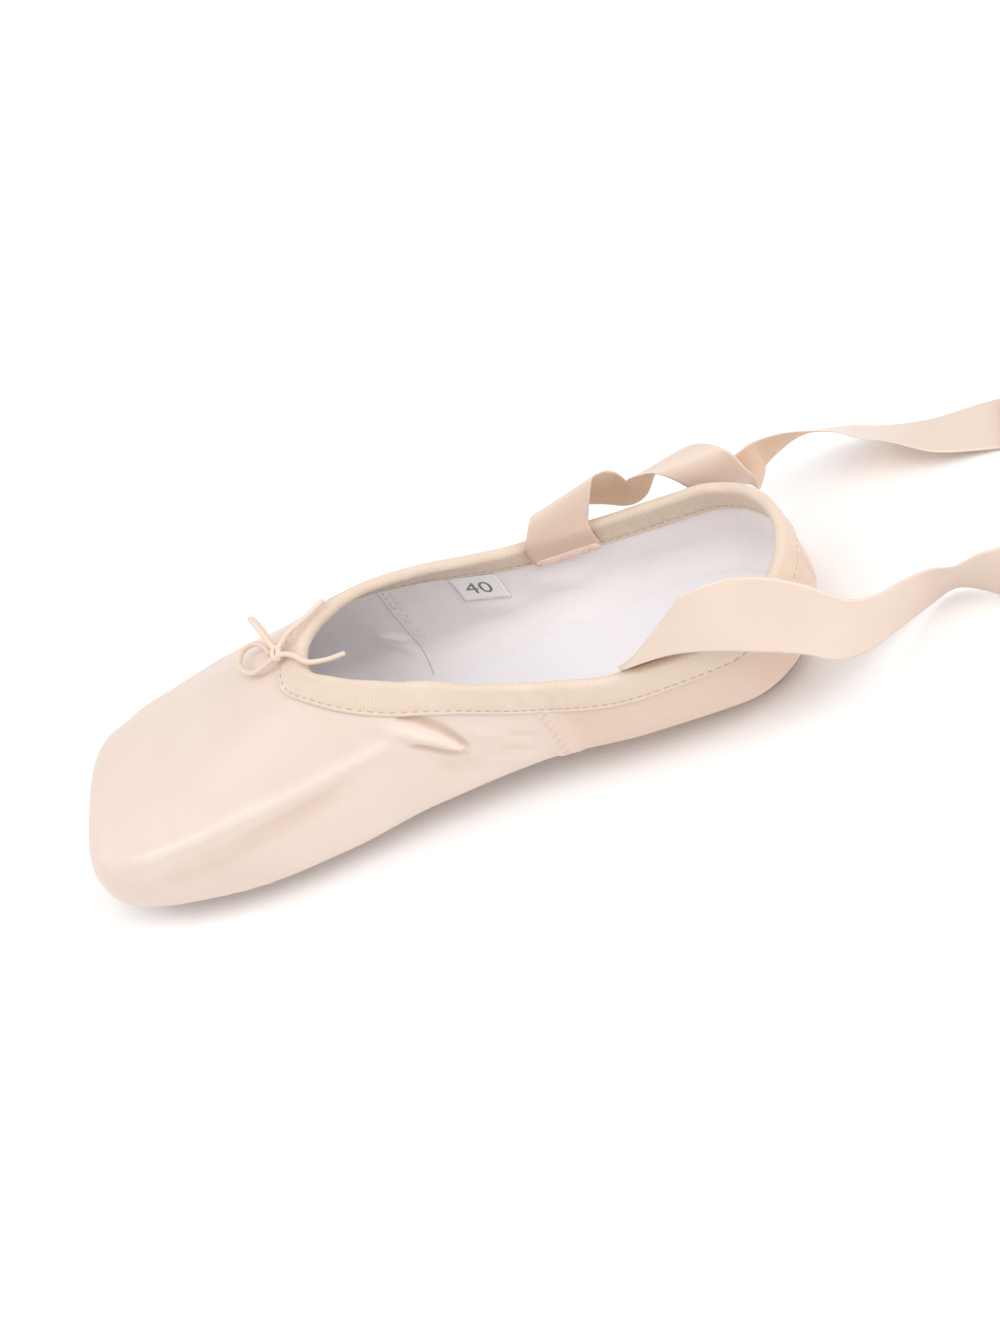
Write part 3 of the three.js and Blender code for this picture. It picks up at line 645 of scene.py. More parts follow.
def into_mesh(bm, mesh):
    """A mesh filled from a finished bmesh and shaded smooth."""
    bm.to_mesh(mesh)
    bm.free()
    mesh.polygons.foreach_set("use_smooth", [True] * len(mesh.polygons))
    return mesh


def laid_grid(name, points, uv_size, closed=True):
    """A grid of faces laid over rows of points, in the shoe's measure.

    A row or column that repeats its first point at its end is closed there. An open
    sheet keeps the facing that its rows and columns give it."""
    rows, columns = points.shape[0] - 1, points.shape[1] - 1
    bm = bmesh.new()
    bm.loops.layers.uv.new("UVMap")
    bmesh.ops.create_grid(bm, x_segments=columns, y_segments=rows, size=1.0, calc_uvs=True)
    mesh = into_mesh(bm, bpy.data.meshes.new(name))
    flat = mesh_places(mesh)
    column = np.rint((flat[:, 0] + 1) / 2 * columns).astype(int)
    row = np.rint((flat[:, 1] + 1) / 2 * rows).astype(int)
    mesh.vertices.foreach_set("co", to_frame(points[row, column]).ravel())
    uv = np.empty(len(mesh.loops) * 2)
    mesh.uv_layers["UVMap"].data.foreach_get("uv", uv)
    uv = uv.reshape(-1, 2) * np.array(uv_size)
    mesh.uv_layers["UVMap"].data.foreach_set("uv", uv.ravel())
    bm = bmesh.new()
    bm.from_mesh(mesh)
    bmesh.ops.remove_doubles(bm, verts=bm.verts, dist=2e-6)
    bmesh.ops.dissolve_degenerate(bm, edges=bm.edges, dist=1e-7)
    if closed:
        bmesh.ops.recalc_face_normals(bm, faces=bm.faces)
    return into_mesh(bm, mesh)


def wall_ring(face, back):
    """Rows down a wall's face and up its back, closed on themselves and round the shoe."""
    return closed_round(np.concatenate([face, back, face[:, :1]], axis=1))


def piece(name, mesh, materials, replaces=()):
    """A finished piece on the frame's one body."""
    made = bpy.data.objects.new(name, mesh)
    bpy.context.scene.collection.objects.link(made)
    for material in materials:
        mesh.materials.append(material)
    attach(made, "root")
    if replaces:
        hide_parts(*replaces)
    return made


class Value:
    """A shader socket that can stand in an expression."""

    def __init__(self, finish, socket):
        self.finish = finish
        self.socket = socket

    def maths(self, operation, *values):
        settings = {"operation": operation}
        return self.finish.read(self.finish.node("ShaderNodeMath", settings, dict(enumerate(values))))

    def __add__(self, other):
        return self.maths("ADD", self, other)

    def __radd__(self, other):
        return self.maths("ADD", other, self)

    def __sub__(self, other):
        return self.maths("SUBTRACT", self, other)

    def __rsub__(self, other):
        return self.maths("SUBTRACT", other, self)

    def __mul__(self, other):
        return self.maths("MULTIPLY", self, other)

    def __rmul__(self, other):
        return self.maths("MULTIPLY", other, self)

    def sine(self):
        return self.maths("SINE", self)

    def size(self):
        return self.maths("ABSOLUTE", self)


class Finish:
    """A material that is built node by node."""

    def __init__(self, name):
        self.material = bpy.data.materials.new(name)
        self.material.use_nodes = True
        self.tree = self.material.node_tree
        self.tree.nodes.clear()

    def node(self, kind, settings=None, sockets=None):
        made = self.tree.nodes.new(kind)
        for name, value in (settings or {}).items():
            setattr(made, name, value)
        for name, value in (sockets or {}).items():
            if isinstance(value, Value):
                self.tree.links.new(value.socket, made.inputs[name])
            else:
                made.inputs[name].default_value = value
        return made

    def read(self, node, output=0):
        return Value(self, node.outputs[output])

    def place(self):
        """Where a point lies on the piece."""
        return self.read(self.node("ShaderNodeTexCoord"), "Object")

    def cloth(self):
        """Where a point lies on the piece's own cloth."""
        return self.read(self.node("ShaderNodeUVMap", {"uv_map": "UVMap"}))

    def part(self, vector, axis):
        """One coordinate of a vector."""
        return self.read(self.node("ShaderNodeSeparateXYZ", None, {0: vector}), axis)

    def mix(self, first, second, factor):
        sockets = {0: factor, 6: first, 7: second}
        return self.read(self.node("ShaderNodeMix", {"data_type": "RGBA"}, sockets), 2)

    def between(self, value, low, high):
        """0 where value is low, 1 where it is high."""
        sockets = {"Value": value, "From Min": low, "From Max": high}
        return self.read(
            self.node("ShaderNodeMapRange", {"interpolation_type": "SMOOTHSTEP"}, sockets)
        )

    def noise(self, vector, scale, detail=3.0, roughness=0.6):
        sockets = {"Vector": vector, "Scale": scale, "Detail": detail, "Roughness": roughness}
        return self.read(self.node("ShaderNodeTexNoise", None, sockets))

    def stretched(self, vector, scale):
        return self.read(self.node("ShaderNodeMapping", None, {"Vector": vector, "Scale": scale}))

    def surface(self, constants, base, rough, height, depth, strength):
        """The shader itself: constants on its sockets, the rest linked."""
        sockets = {"Height": height, "Distance": depth, "Strength": strength}
        bump = self.read(self.node("ShaderNodeBump", None, sockets))
        varying = {"Base Color": base, "Roughness": rough, "Normal": bump}
        shader = self.node("ShaderNodeBsdfPrincipled", None, {**constants, **varying})
        output = self.node("ShaderNodeOutputMaterial")
        self.tree.links.new(shader.outputs[0], output.inputs["Surface"])
        return self.material


def colour(name):
    """One of the shoe's colours."""
    return tuple(getattr(bpy.context.scene.pointe_colours, name))


def length(name):
    """One of the shoe's sizes, in millimetres."""
    return getattr(bpy.context.scene.pointe_sizes, name) / MILLIMETRE


def satin_finish():
    """Shell satin: a tight weave with long floats, a soft broad gloss, slight mottling, painted shade in
    its fold troughs and a painted highlight on its fold ridges.
    """
    f = Finish("satin")
    place, cloth = f.place(), f.cloth()
    mottled = f.noise(place, 38.0, 4.0)
    floats = f.noise(f.stretched(cloth, (420.0, 2600.0, 1.0)), 1.0, 2.0, 0.5)
    slubs = f.noise(f.stretched(cloth, (60.0, 900.0, 1.0)), 1.0)
    rear = 1 - f.between(f.part(place, 0), 0.035, 0.052)
    base = f.mix(colour("satin"), colour("satin_quarter"), rear)
    base = f.mix(base, colour("satin_shade"), f.between(mottled, 0.35, 0.75) * 0.28)
    base = f.mix(base, colour("light_threads_and_ridge_highlight"), f.between(slubs, 0.55, 0.8) * 0.25)
    fold = f.read(f.node("ShaderNodeAttribute", {"attribute_name": "folds"}), "Fac")
    # painted shade: darker in the fold troughs, where the relief is low
    base = f.mix(base, colour("satin_fold_shade"), f.between(fold, -0.12, -1.1) * 0.75)
    # painted highlight: lighter on the fold ridges, where the relief is high
    base = f.mix(base, colour("light_threads_and_ridge_highlight"), f.between(fold, 0.3, 1.3) * 0.55)
    return f.surface(
        {"IOR": 1.48, "Sheen Weight": 0.25, "Sheen Roughness": 0.45, "Sheen Tint": SHEEN},
        base, 0.36 + floats * 0.16 + mottled * 0.06, floats * 0.55 + slubs * 0.45, 0.00006, 0.5,
    )


def lining_finish():
    """Plain cotton drill inside the shoe."""
    f = Finish("lining cloth")
    place, cloth = f.place(), f.cloth()
    warp = (f.part(cloth, 0) * 9000.0).sine()
    weft = (f.part(cloth, 1) * 9000.0).sine()
    mottled = f.noise(place, 55.0, 4.0)
    fibres = f.noise(place, 900.0, 2.0)
    base = f.mix(colour("lining"), colour("lining_shade"), f.between(mottled, 0.35, 0.75) * 0.6)
    return f.surface(
        {"IOR": 1.45, "Sheen Weight": 0.2, "Sheen Roughness": 0.6},
        base, 0.82 + fibres * 0.12, warp * 0.25 + weft * 0.25 + fibres * 0.6, 0.00008, 0.5,
    )


def footbed_finish():
    """Brushed cotton over the insole."""
    f = Finish("footbed cloth")
    place = f.place()
    brushed = f.noise(f.stretched(place, (300.0, 1200.0, 300.0)), 1.0)
    mottled = f.between(f.noise(place, 45.0), 0.4, 0.8)
    base = f.mix(colour("footbed"), colour("lining_shade"), mottled * 0.45)
    return f.surface(
        {"IOR": 1.45, "Sheen Weight": 0.25, "Sheen Roughness": 0.6},
        base, 0.85 + brushed * 0.1, brushed, 0.00012, 0.5,
    )


def leather_finish():
    """Sueded split leather of the outsole, darker where it was pressed."""
    f = Finish("sole leather")
    place = f.place()
    nap = f.noise(f.stretched(place, (700.0, 1000.0, 700.0)), 1.0, 4.0, 0.7)
    patches = f.noise(place, 32.0, 4.0)
    grain = {"Vector": place, "Scale": 900.0}
    pores = f.read(f.node("ShaderNodeTexVoronoi", {"feature": "DISTANCE_TO_EDGE"}, grain))
    base = f.mix(colour("leather"), colour("leather_dark"), f.between(patches, 0.35, 0.75) * 0.55)
    base = f.mix(base, colour("leather_dark"), f.between(nap, 0.55, 0.85) * 0.4)
    return f.surface(
        {"IOR": 1.45, "Sheen Weight": 0.15},
        base, 0.68 + nap * 0.2, nap * 0.8 + pores * 0.8, 0.0002, 0.6,
    )


def grosgrain_finish():
    """Ribbed matt tape of the binding."""
    f = Finish("grosgrain")
    cloth = f.cloth()
    rib = (f.part(cloth, 1) * (2 * math.pi)).sine()
    threads = f.noise(f.stretched(cloth, (1.6, 0.9, 1.0)), 3.0)
    mottled = f.between(f.noise(f.place(), 70.0), 0.5, 0.85)
    base = f.mix(colour("grosgrain"), colour("grosgrain_shade"), f.between(rib, 0.2, -1.0) * 0.55)
    base = f.mix(base, colour("light_threads_and_ridge_highlight"), mottled * 0.35)
    return f.surface(
        {"IOR": 1.45, "Sheen Weight": 0.2, "Sheen Roughness": 0.5},
        base, 0.62 + threads * 0.16, threads, 0.00008, 0.4,
    )


def ribbon_finish(name, face, rough_low, gloss):
    """Woven ribbon: fine lines along it, a firmer selvedge on both sides and painted shade near its sewn
    root.
    """
    f = Finish(name)
    cloth = f.cloth()
    floats = f.noise(f.stretched(cloth, (3.4, 0.22, 1.0)), 1.0)
    cloudy = f.noise(f.stretched(cloth, (0.09, 0.03, 1.0)), 1.0, 3.0, 0.5)
    middle = length("ribbon_width") / 2
    from_middle = (f.part(cloth, 0) - middle).size()
    selvedge = f.between(from_middle, middle - 1.0, middle - 0.7)
    # painted shade over the first 12 to 48 mm from the sewn root
    root_shade = 1 - f.between(f.part(cloth, 1), 12.0, 48.0)
    base = f.mix(colour(face), colour("ribbon_shade"), f.between(cloudy, 0.35, 0.75) * 0.5)
    base = f.mix(base, colour("light_threads_and_ridge_highlight"), selvedge * 0.3)
    base = f.mix(base, colour("ribbon_root_shade"), root_shade * 0.85)
    return f.surface(
        {"IOR": 1.48, "Sheen Weight": gloss, "Sheen Roughness": 0.4, "Sheen Tint": SHEEN},
        base, rough_low + floats * 0.14 + selvedge * 0.12, floats * 0.7 + selvedge * 0.5, 0.00005, 0.5,
    )


def thread_finish(name, tint, rough):
    """Sewing thread or braid with a slight fuzz."""
    f = Finish(name)
    twist = f.noise(f.place(), 2400.0, 2.0, 0.5)
    base = f.mix(colour(tint), colour("light_threads_and_ridge_highlight"), f.between(twist, 0.4, 0.75) * 0.3)
    return f.surface(
        {"IOR": 1.45, "Sheen Weight": 0.2}, base, rough + twist * 0.15, twist, 0.00008, 0.5
    )


def tag_finish():
    """Woven white label with fine ribs."""
    f = Finish("tag cloth")
    cloth = f.cloth()
    ribs = (f.part(cloth, 0) * 18.0).sine()
    fibres = f.noise(cloth, 9.0, 2.0)
    base = f.mix(colour("tag"), colour("lining"), fibres * 0.3)
    return f.surface(
        {"IOR": 1.48}, base, 0.55 + fibres * 0.2, ribs * 0.4 + fibres * 0.3, 0.00005, 0.4
    )


def floor_finish():
    """Seamless pale paper."""
    f = Finish("studio paper")
    grain = f.noise(f.place(), 260.0)
    base = f.mix(colour("floor"), (0.93, 0.93, 0.93, 1.0), grain * 0.1)
    return f.surface(
        {"IOR": 1.4, "Specular IOR Level": 0.1}, base, 0.9 + grain * 0.08, grain, 0.0001, 0.1
    )


def thread(name, tint, rough=0.6):
    """A thread's finish, made once and worn by all that is sewn with it."""
    return bpy.data.materials.get(name) or thread_finish(name, tint, rough)


def stitches(name, places, size, material):
    """Many short stitches as one piece. A place is a point, the way along it and its normal."""
    long, thick = size
    bm = bmesh.new()
    for spot, along, normal in places:
        way = Vector(unit(np.asarray(along, float)))
        out = Vector(unit(np.asarray(normal, float)))
        across = out.cross(way).normalized()
        out = way.cross(across).normalized()
        turn = Matrix((way, across, out)).transposed().to_4x4()
        scale = Matrix.Diagonal((long / 2 * MILLIMETRE, thick / 2 * MILLIMETRE,
                                 thick / 2 * MILLIMETRE, 1.0))
        move = Matrix.Translation(Vector(to_frame(spot)))
        bmesh.ops.create_uvsphere(bm, u_segments=6, v_segments=6, radius=1.0,
                                  matrix=move @ turn @ scale @ Matrix.Rotation(math.pi / 2, 4, "Y"))
    return piece(name, into_mesh(bm, bpy.data.meshes.new(name)), [material])


def toe_pleats(points, count):
    """Height of the tucks that gather the satin under the toe."""
    at, y, z = points[..., 0], points[..., 1], points[..., 2]
    angle = np.arctan2(y, at - PLEATS_TURN_AT)
    turn = angle * count / math.pi
    phase = turn - np.floor(turn)
    tuck = smoothstep(phase, 0.0, 0.8) * (1 - smoothstep(phase, 0.86, 1.0))
    under = 1 - smoothstep(z, 6.0, 12.0)
    forward = 1 - smoothstep(np.abs(angle), 1.75, 2.1)
    outline = SOLE_OUTLINE(np.clip(at, SOLE_OUTLINE.start, SOLE_OUTLINE.end))
    clear = smoothstep(np.abs(y) - outline, 0.3, 3.0)
    clear = np.maximum(clear, smoothstep(at - SOLE_OUTLINE.end, 0.3, 3.0))
    return PLEAT_HEIGHT * (tuck - 0.5) * under * forward * clear


def seam_step(points):
    """The quarter's edge lapped over the vamp at the side seam, and the heel's back seam."""
    at, y, z = points[..., 0], points[..., 1], points[..., 2]
    seam = SIDE_SEAM_AT + 1.4 * np.clip((34.0 - z) / 20.0, -1, 1)
    lap = smoothstep(seam - at, -0.3, 0.5) * (1 - smoothstep(seam - at, 7.0, 9.5))
    side = smoothstep(z, 6.0, 12.0)
    back = np.exp(-((y / 0.7) ** 2)) * (1 - smoothstep(at, 12.0, 18.0)) * smoothstep(z, 6.0, 10.0)
    return SIDE_LAP * lap * side - BACK_SEAM_DEPTH * back


def user_length(name, description, default):
    """A length that a user may change."""
    return bpy.props.FloatProperty(name=name, description=description, default=default, unit="LENGTH")


def user_colour(name, description, *default):
    """A colour that a user may change."""
    return bpy.props.FloatVectorProperty(
        name=name, description=description, subtype="COLOR", size=4, default=(*default, 1.0)
    )


class PointeSizes(bpy.types.PropertyGroup):
    """Sizes of the shoe's sewn parts."""

    ribbon_width: user_length("Ribbon width", "Width of each ribbon", 0.023)
    ribbon_length: user_length("Ribbon length", "Length of each ribbon from its sewn end", 0.44)
    ribbon_thickness: user_length("Ribbon thickness", "Thickness of the ribbon's cloth", 0.0004)
    binding_width: user_length("Binding width", "How far the binding reaches down each face", 0.0095)
    binding_thickness: user_length("Binding thickness", "Thickness of the binding's tape", 0.0008)
    rib_pitch: user_length("Rib pitch", "Distance from rib to rib of the binding", 0.00105)
    stitch_pitch: user_length("Stitch pitch", "Distance from stitch to stitch along the binding", 0.003)
    stitch_length: user_length("Stitch length", "Length of one stitch", 0.0021)
    cord_diameter: user_length("Drawstring diameter", "Thickness of the drawstring", 0.0019)
    pleats: bpy.props.IntProperty(
        name="Toe pleats", description="Tucks per half turn under the toe", default=17, min=6, max=40)


class PointeColours(bpy.types.PropertyGroup):
    """Colours of the shoe's materials."""

    satin: user_colour("Satin", "Satin of the vamp", 0.78, 0.64, 0.55)
    satin_quarter: user_colour("Quarter satin", "Satin of the quarters", 0.73, 0.55, 0.435)
    satin_shade: user_colour("Satin shade", "Darker clouds of the satin", 0.71, 0.545, 0.445)
    # painted shade for the satin deep in its fold troughs
    satin_fold_shade: user_colour("Satin fold", "Satin deep in a fold", 0.57, 0.385, 0.28)
    # lightest threads, and also the painted highlight on the satin's fold ridges
    light_threads_and_ridge_highlight: user_colour("Satin light", "Lightest threads", 0.90, 0.79, 0.71)
    lining: user_colour("Lining", "Lining cloth", 0.93, 0.89, 0.885)
    lining_shade: user_colour("Lining shade", "Darker clouds of the lining", 0.87, 0.82, 0.82)
    # the seam is real; its darker colour is a painted shade line along the seam's step
    wing_seam: user_colour("Wing seam", "Seam where the lining's wing ends", 0.66, 0.61, 0.64)
    footbed: user_colour("Footbed", "Cloth on the insole", 0.85, 0.83, 0.865)
    grosgrain: user_colour("Binding", "Grosgrain of the binding", 0.75, 0.61, 0.485)
    grosgrain_shade: user_colour("Binding shade", "Between the ribs of the binding", 0.66, 0.52, 0.40)
    ribbon: user_colour("Ribbon", "Satin face of the ribbon", 0.74, 0.595, 0.495)
    ribbon_back: user_colour("Ribbon back", "Dull face of the ribbon", 0.78, 0.575, 0.42)
    ribbon_shade: user_colour("Ribbon shade", "Darker clouds of the ribbon", 0.76, 0.60, 0.50)
    # painted shade of the ribbon near where it is sewn down
    ribbon_root_shade: user_colour("Ribbon root", "Ribbon where it is sewn down", 0.74, 0.52, 0.39)
    hem: user_colour("Hem", "Folded end of a ribbon", 0.87, 0.66, 0.56)
    leather: user_colour("Leather", "Sole leather", 0.60, 0.40, 0.26)
    leather_dark: user_colour("Dark leather", "Pressed and cut leather", 0.40, 0.25, 0.15)
    thread_brown: user_colour("Binding thread", "Thread along the binding", 0.46, 0.35, 0.28)
    thread_pink: user_colour("Seam thread", "Thread of the seams", 0.78, 0.55, 0.47)
    thread_white: user_colour("Lining thread", "Thread of the lining", 0.84, 0.80, 0.80)
    drawstring: user_colour("Drawstring", "Braid of the drawstring", 0.80, 0.63, 0.50)
    tag: user_colour("Tag", "Woven label", 0.93, 0.93, 0.92)
    ink: user_colour("Ink", "Number on the tag", 0.16, 0.16, 0.18)
    floor: user_colour("Floor", "Studio paper", 0.97, 0.97, 0.97)


class POINTE_OT_stage(bpy.types.Operator):
    """Make the floor, the soft lights and the camera"""

    bl_idname = "pointe_shoe.stage"
    bl_label = "Stage"

    def execute(self, context):
        scene = context.scene
        bm = bmesh.new()
        bmesh.ops.create_grid(bm, x_segments=1, y_segments=1, size=6.0)
        mesh = into_mesh(bm, bpy.data.meshes.new("studio_floor"))
        floor = bpy.data.objects.new("studio_floor", mesh)
        scene.collection.objects.link(floor)
        mesh.materials.append(floor_finish())
        self.lights(scene)
        self.camera(scene)
        scene.view_settings.view_transform = "Standard"
        return {"FINISHED"}

    @staticmethod
    def lights(scene):
        world = bpy.data.worlds.new("studio")
        world.use_nodes = True
        background = world.node_tree.nodes["Background"]
        background.inputs["Color"].default_value = (0.98, 0.985, 1.0, 1.0)
        background.inputs["Strength"].default_value = 0.76
        scene.world = world
        middle = Vector((0.08, 0.0, 0.03))
        for name, place, size, watts in (
            ("overhead", (0.3, 0.35, 1.5), 1.3, 5.0),
            ("front", (-0.8, 0.7, 1.6), 1.1, 5.8),
            ("toe", (1.5, -0.25, 1.0), 0.8, 4.6),
            ("heel", (-1.5, 0.35, 0.9), 1.1, 9.0),
        ):
            light = bpy.data.lights.new(name, "AREA")
            light.shape = "DISK"
            light.size = size
            light.energy = watts
            lamp = bpy.data.objects.new(name, light)
            lamp.location = place
            lamp.rotation_euler = (Vector(place) - middle).to_track_quat("Z", "Y").to_euler()
            scene.collection.objects.link(lamp)

    @staticmethod
    def camera(scene):
        turn = math.radians(CAMERA_TURN)
        height = math.radians(CAMERA_HEIGHT)
        roll = math.radians(CAMERA_ROLL)
        middle = np.array(CAMERA_LOOKS_AT)
        toward = np.array([-math.sin(turn) * math.cos(height), math.cos(turn) * math.cos(height),
                           math.sin(height)])
        level = np.array([-math.cos(turn), -math.sin(turn), 0.0])
        upright = np.cross(toward, level)
        right = math.cos(roll) * level - math.sin(roll) * upright
        up = math.sin(roll) * level + math.cos(roll) * upright
        lens = bpy.data.cameras.new("camera")
        lens.sensor_width = SENSOR
        lens.lens = SENSOR * CAMERA_FOCUS / FRAME_HEIGHT
        lens.shift_x = (FRAME_WIDTH / 2 - CAMERA_AIM[0]) / FRAME_HEIGHT
        lens.shift_y = (CAMERA_AIM[1] - FRAME_HEIGHT / 2) / FRAME_HEIGHT
        lens.clip_end = 20.0
        view = bpy.data.objects.new("camera", lens)
        axes = Matrix((right, up, toward)).transposed().to_4x4()
        view.matrix_world = Matrix.Translation(Vector(middle + CAMERA_DISTANCE * toward)) @ axes
        scene.collection.objects.link(view)
        scene.camera = view


class POINTE_OT_satin(bpy.types.Operator):
    """Make the satin cover of the upper with its creases, seams and toe pleats"""

    bl_idname = "pointe_shoe.satin"
    bl_label = "Satin cover"

    def execute(self, context):
        skin = Skin(SATIN_COLUMNS)
        face, _ = skin.read(skin.down(SATIN_ROWS))
        face[:, 1:] = onto_last(face[:, 1:])
        up = np.gradient(face, axis=1)
        along = np.roll(face, -1, axis=0) - np.roll(face, 1, axis=0)
        normals = unit(np.cross(along, up))
        pleats = context.scene.pointe_sizes.pleats
        folds = relief(face, CREASES)
        sunk = -DEEPEST_TROUGH * np.tanh(-folds / DEEPEST_TROUGH)
        folds = np.where(folds < 0, sunk, folds)
        height = folds + toe_pleats(face, pleats) + seam_step(face)
        face = face + normals * height[..., None]
        back, _ = skin.read(skin.down(BACK_ROWS)[:, ::-1], -SATIN_BACK_DEPTH)
        mesh = laid_grid("satin_cover", wall_ring(face, back), WALL_CLOTH)
        self.mark_folds(mesh)
        piece("satin_cover", mesh, [satin_finish()], ["upper"])
        return {"FINISHED"}


    @staticmethod
    def mark_folds(mesh):
        """Keep how far each point stands out of a fold, for the satin's painted shade in the troughs and
        painted highlight on the ridges.
        """
        spots = mesh_places(mesh) / MILLIMETRE + np.array([HEEL_SEAT_AT, 0, 0])
        marks = mesh.attributes.new("folds", "FLOAT", "POINT")
        marks.data.foreach_set("value", relief(spots, CREASES))


class POINTE_OT_lining(bpy.types.Operator):
    """Make the lining and the footbed"""

    bl_idname = "pointe_shoe.lining"
    bl_label = "Lining and footbed"

    def execute(self, context):
        skin = Skin(LINING_COLUMNS)
        face, normals = skin.inner(skin.down(LINING_ROWS))
        face = face - normals * relief(face, LINING_FOLDS)[..., None]
        back, _ = skin.inner(skin.down(BACK_ROWS)[:, ::-1], -LINING_BACK_DEPTH)
        mesh = laid_grid("lining", wall_ring(face, back), WALL_CLOTH)
        piece("lining", mesh, [lining_finish()], ["upper"])
        self.footbed()
        return {"FINISHED"}

    @staticmethod
    def footbed():
        at = eased_places(INSOLE_OUTLINE.start, INSOLE_OUTLINE.end, 150)
        turn = np.linspace(0, 2 * np.pi, 61)
        out = squarer(np.cos(turn), 0.4)
        rise = squarer(np.sin(turn), 0.8)
        half = INSOLE_OUTLINE(at)
        y = half[:, None] * out[None]
        place = np.broadcast_to(at[:, None], y.shape)
        nudge = 0.5
        slope_y = (underside(place, y + nudge) - underside(place, y - nudge)) / (2 * nudge)
        slope_at = (underside(place + nudge, y) - underside(place - nudge, y)) / (2 * nudge)
        steep = np.sqrt(1 + slope_y**2 + slope_at**2)
        floor = underside(place, y) + (wall_thickness(place) + INSOLE_CLEAR) * steep
        z = floor + INSOLE_THICKNESS * (rise[None] + 1) / 2
        ring = np.stack([place, y, z], axis=-1)
        mesh = laid_grid("footbed", ring, SOLE_CLOTH)
        piece("footbed", mesh, [footbed_finish()], ["insole"])


class POINTE_OT_outsole(bpy.types.Operator):
    """Make the leather outsole with its sewn channel"""

    bl_idname = "pointe_shoe.outsole"
    bl_label = "Outsole"

    def execute(self, context):
        at = eased_places(SOLE_OUTLINE.start, SOLE_OUTLINE.end, 260)
        turn = np.linspace(0, 2 * np.pi, 121)
        out = squarer(np.cos(turn), 0.7)
        half = SOLE_OUTLINE(at)
        y = half[:, None] * out[None]
        place = np.broadcast_to(at[:, None], y.shape)
        upper_face = np.maximum(underside(place, y) - SOLE_CLEAR, SOLE_LIFT(place) + SOLE_THICKNESS)
        lower_face = np.maximum(SOLE_LIFT(place), upper_face - SOLE_EDGE_THICKNESS)
        rise = squarer(np.sin(turn), 0.22)
        z = lower_face + (upper_face - lower_face) * (rise[None] + 1) / 2
        from_edge = half[:, None] - np.abs(y)
        from_edge = np.minimum(from_edge, np.minimum(place - SOLE_OUTLINE.start,
                                                     SOLE_OUTLINE.end - place))
        channel = np.exp(-(((from_edge - CHANNEL_FROM_EDGE) / CHANNEL_HALF_WIDTH) ** 2))
        z = z + CHANNEL_DEPTH * channel * (rise[None] < -0.5)
        ring = np.stack([place, y, z], axis=-1)
        mesh = laid_grid("leather_outsole", ring, SOLE_CLOTH)
        piece("leather_outsole", mesh, [leather_finish()], ["outsole"])
        return {"FINISHED"}


class POINTE_OT_binding(bpy.types.Operator):
    """Make the grosgrain binding and its two rows of stitches"""

    bl_idname = "pointe_shoe.binding"
    bl_label = "Binding"

    def execute(self, context):
        ribs = round(2 * collar_line().total / length("rib_pitch"))
        skin = Skin(COLUMNS_PER_RIB * ribs, BINDING_STEPS, even_collar=True)
        width = length("binding_width")
        thick = length("binding_thickness")
        edge = skin.points[:, -1]
        gone = Line(closed_round(edge)).length
        rib = RIB_HEIGHT * np.cos(2 * np.pi * np.arange(skin.count) / COLUMNS_PER_RIB)
        swell = 0.18 * np.sin(2 * np.pi * gone[:-1] / 23.0) + 0.12 * np.sin(gone[:-1] / 3.1)
        wall = wall_thickness(edge[:, 0])
        radius = wall / 2 + thick + BINDING_SLACK
        # How far down each bend of the tape lies, and how many thicknesses out
        below, layers = np.array([
            (width, 0.35), (width, 0.95), (width - 0.5, 1.1), (width - 1.0, 0.9),
            (width - STITCH_LINE, 0.62), (width - 1.9, 0.85), (width * 0.6, 0.95),
            (width * 0.35, 1.05), (width * 0.15, 1.1),
        ]).T
        lift = np.tile(layers * thick, (skin.count, 1))
        lift[:, 2:] += rib[:, None] + 0.12
        outer, inner = skin.read(below, lift)[0], skin.inner(below, lift)[0]
        arc = np.linspace(0, np.pi, 13)
        crest_below = -(radius + swell)[:, None] * np.sin(arc)[None] * 0.95
        crest_offset = -wall[:, None] / 2 + (radius + rib)[:, None] * np.cos(arc)[None]
        crest, _ = skin.read(crest_below, crest_offset)
        hidden_in, _ = skin.inner(np.array([width * 0.9, width * 0.5, 0.0]), 0.08)
        hidden_out, _ = skin.read(np.array([0.0, width * 0.5, width * 0.9]), 0.08)
        back = np.concatenate([crest, inner[:, ::-1], hidden_in, hidden_out], axis=1)
        mesh = laid_grid("binding_tape", wall_ring(outer, back), (30.0, float(ribs)))
        piece("binding_tape", mesh, [grosgrain_finish()], ["binding"])
        self.sew(skin, gone, width, thick)
        return {"FINISHED"}

    @staticmethod
    def sew(skin, gone, width, thick):
        places = []
        pitch = length("stitch_pitch")
        for inside in (False, True):
            reader = skin.inner if inside else skin.read
            line, normals = reader(np.array([width - STITCH_LINE]), 0.85 * thick)
            line, normals = line[:, 0], normals[:, 0]
            count = int(gone[-1] / pitch)
            for k in range(count):
                i = int(np.searchsorted(gone, gone[-1] * k / count)) % skin.count
                ahead = line[(i + 2) % skin.count] - line[i - 2]
                out = -normals[i] if inside else normals[i]
                places.append((line[i], ahead, out))
        stitches("binding_stitches", places, (length("stitch_length"), STITCH_THICKNESS),
                 thread("binding thread", "thread_brown"))


def smooth_through(rows, steps):
    """Points along a smooth curve through rows, with this many steps to each row."""
    rows = np.array(rows, float)
    padded = np.concatenate([[2 * rows[0] - rows[1]], rows, [2 * rows[-1] - rows[-2]]])
    share = np.linspace(0, len(rows) - 1, (len(rows) - 1) * steps + 1)
    i = np.minimum(share.astype(int), len(rows) - 2)
    t = (share - i)[:, None]
    a, b, c, d = (padded[i + k] for k in range(4))
    return 0.5 * (2 * b + (c - a) * t + (2 * a - 5 * b + 4 * c - d) * t**2
                  + (3 * b - a - 3 * c + d) * t**3)


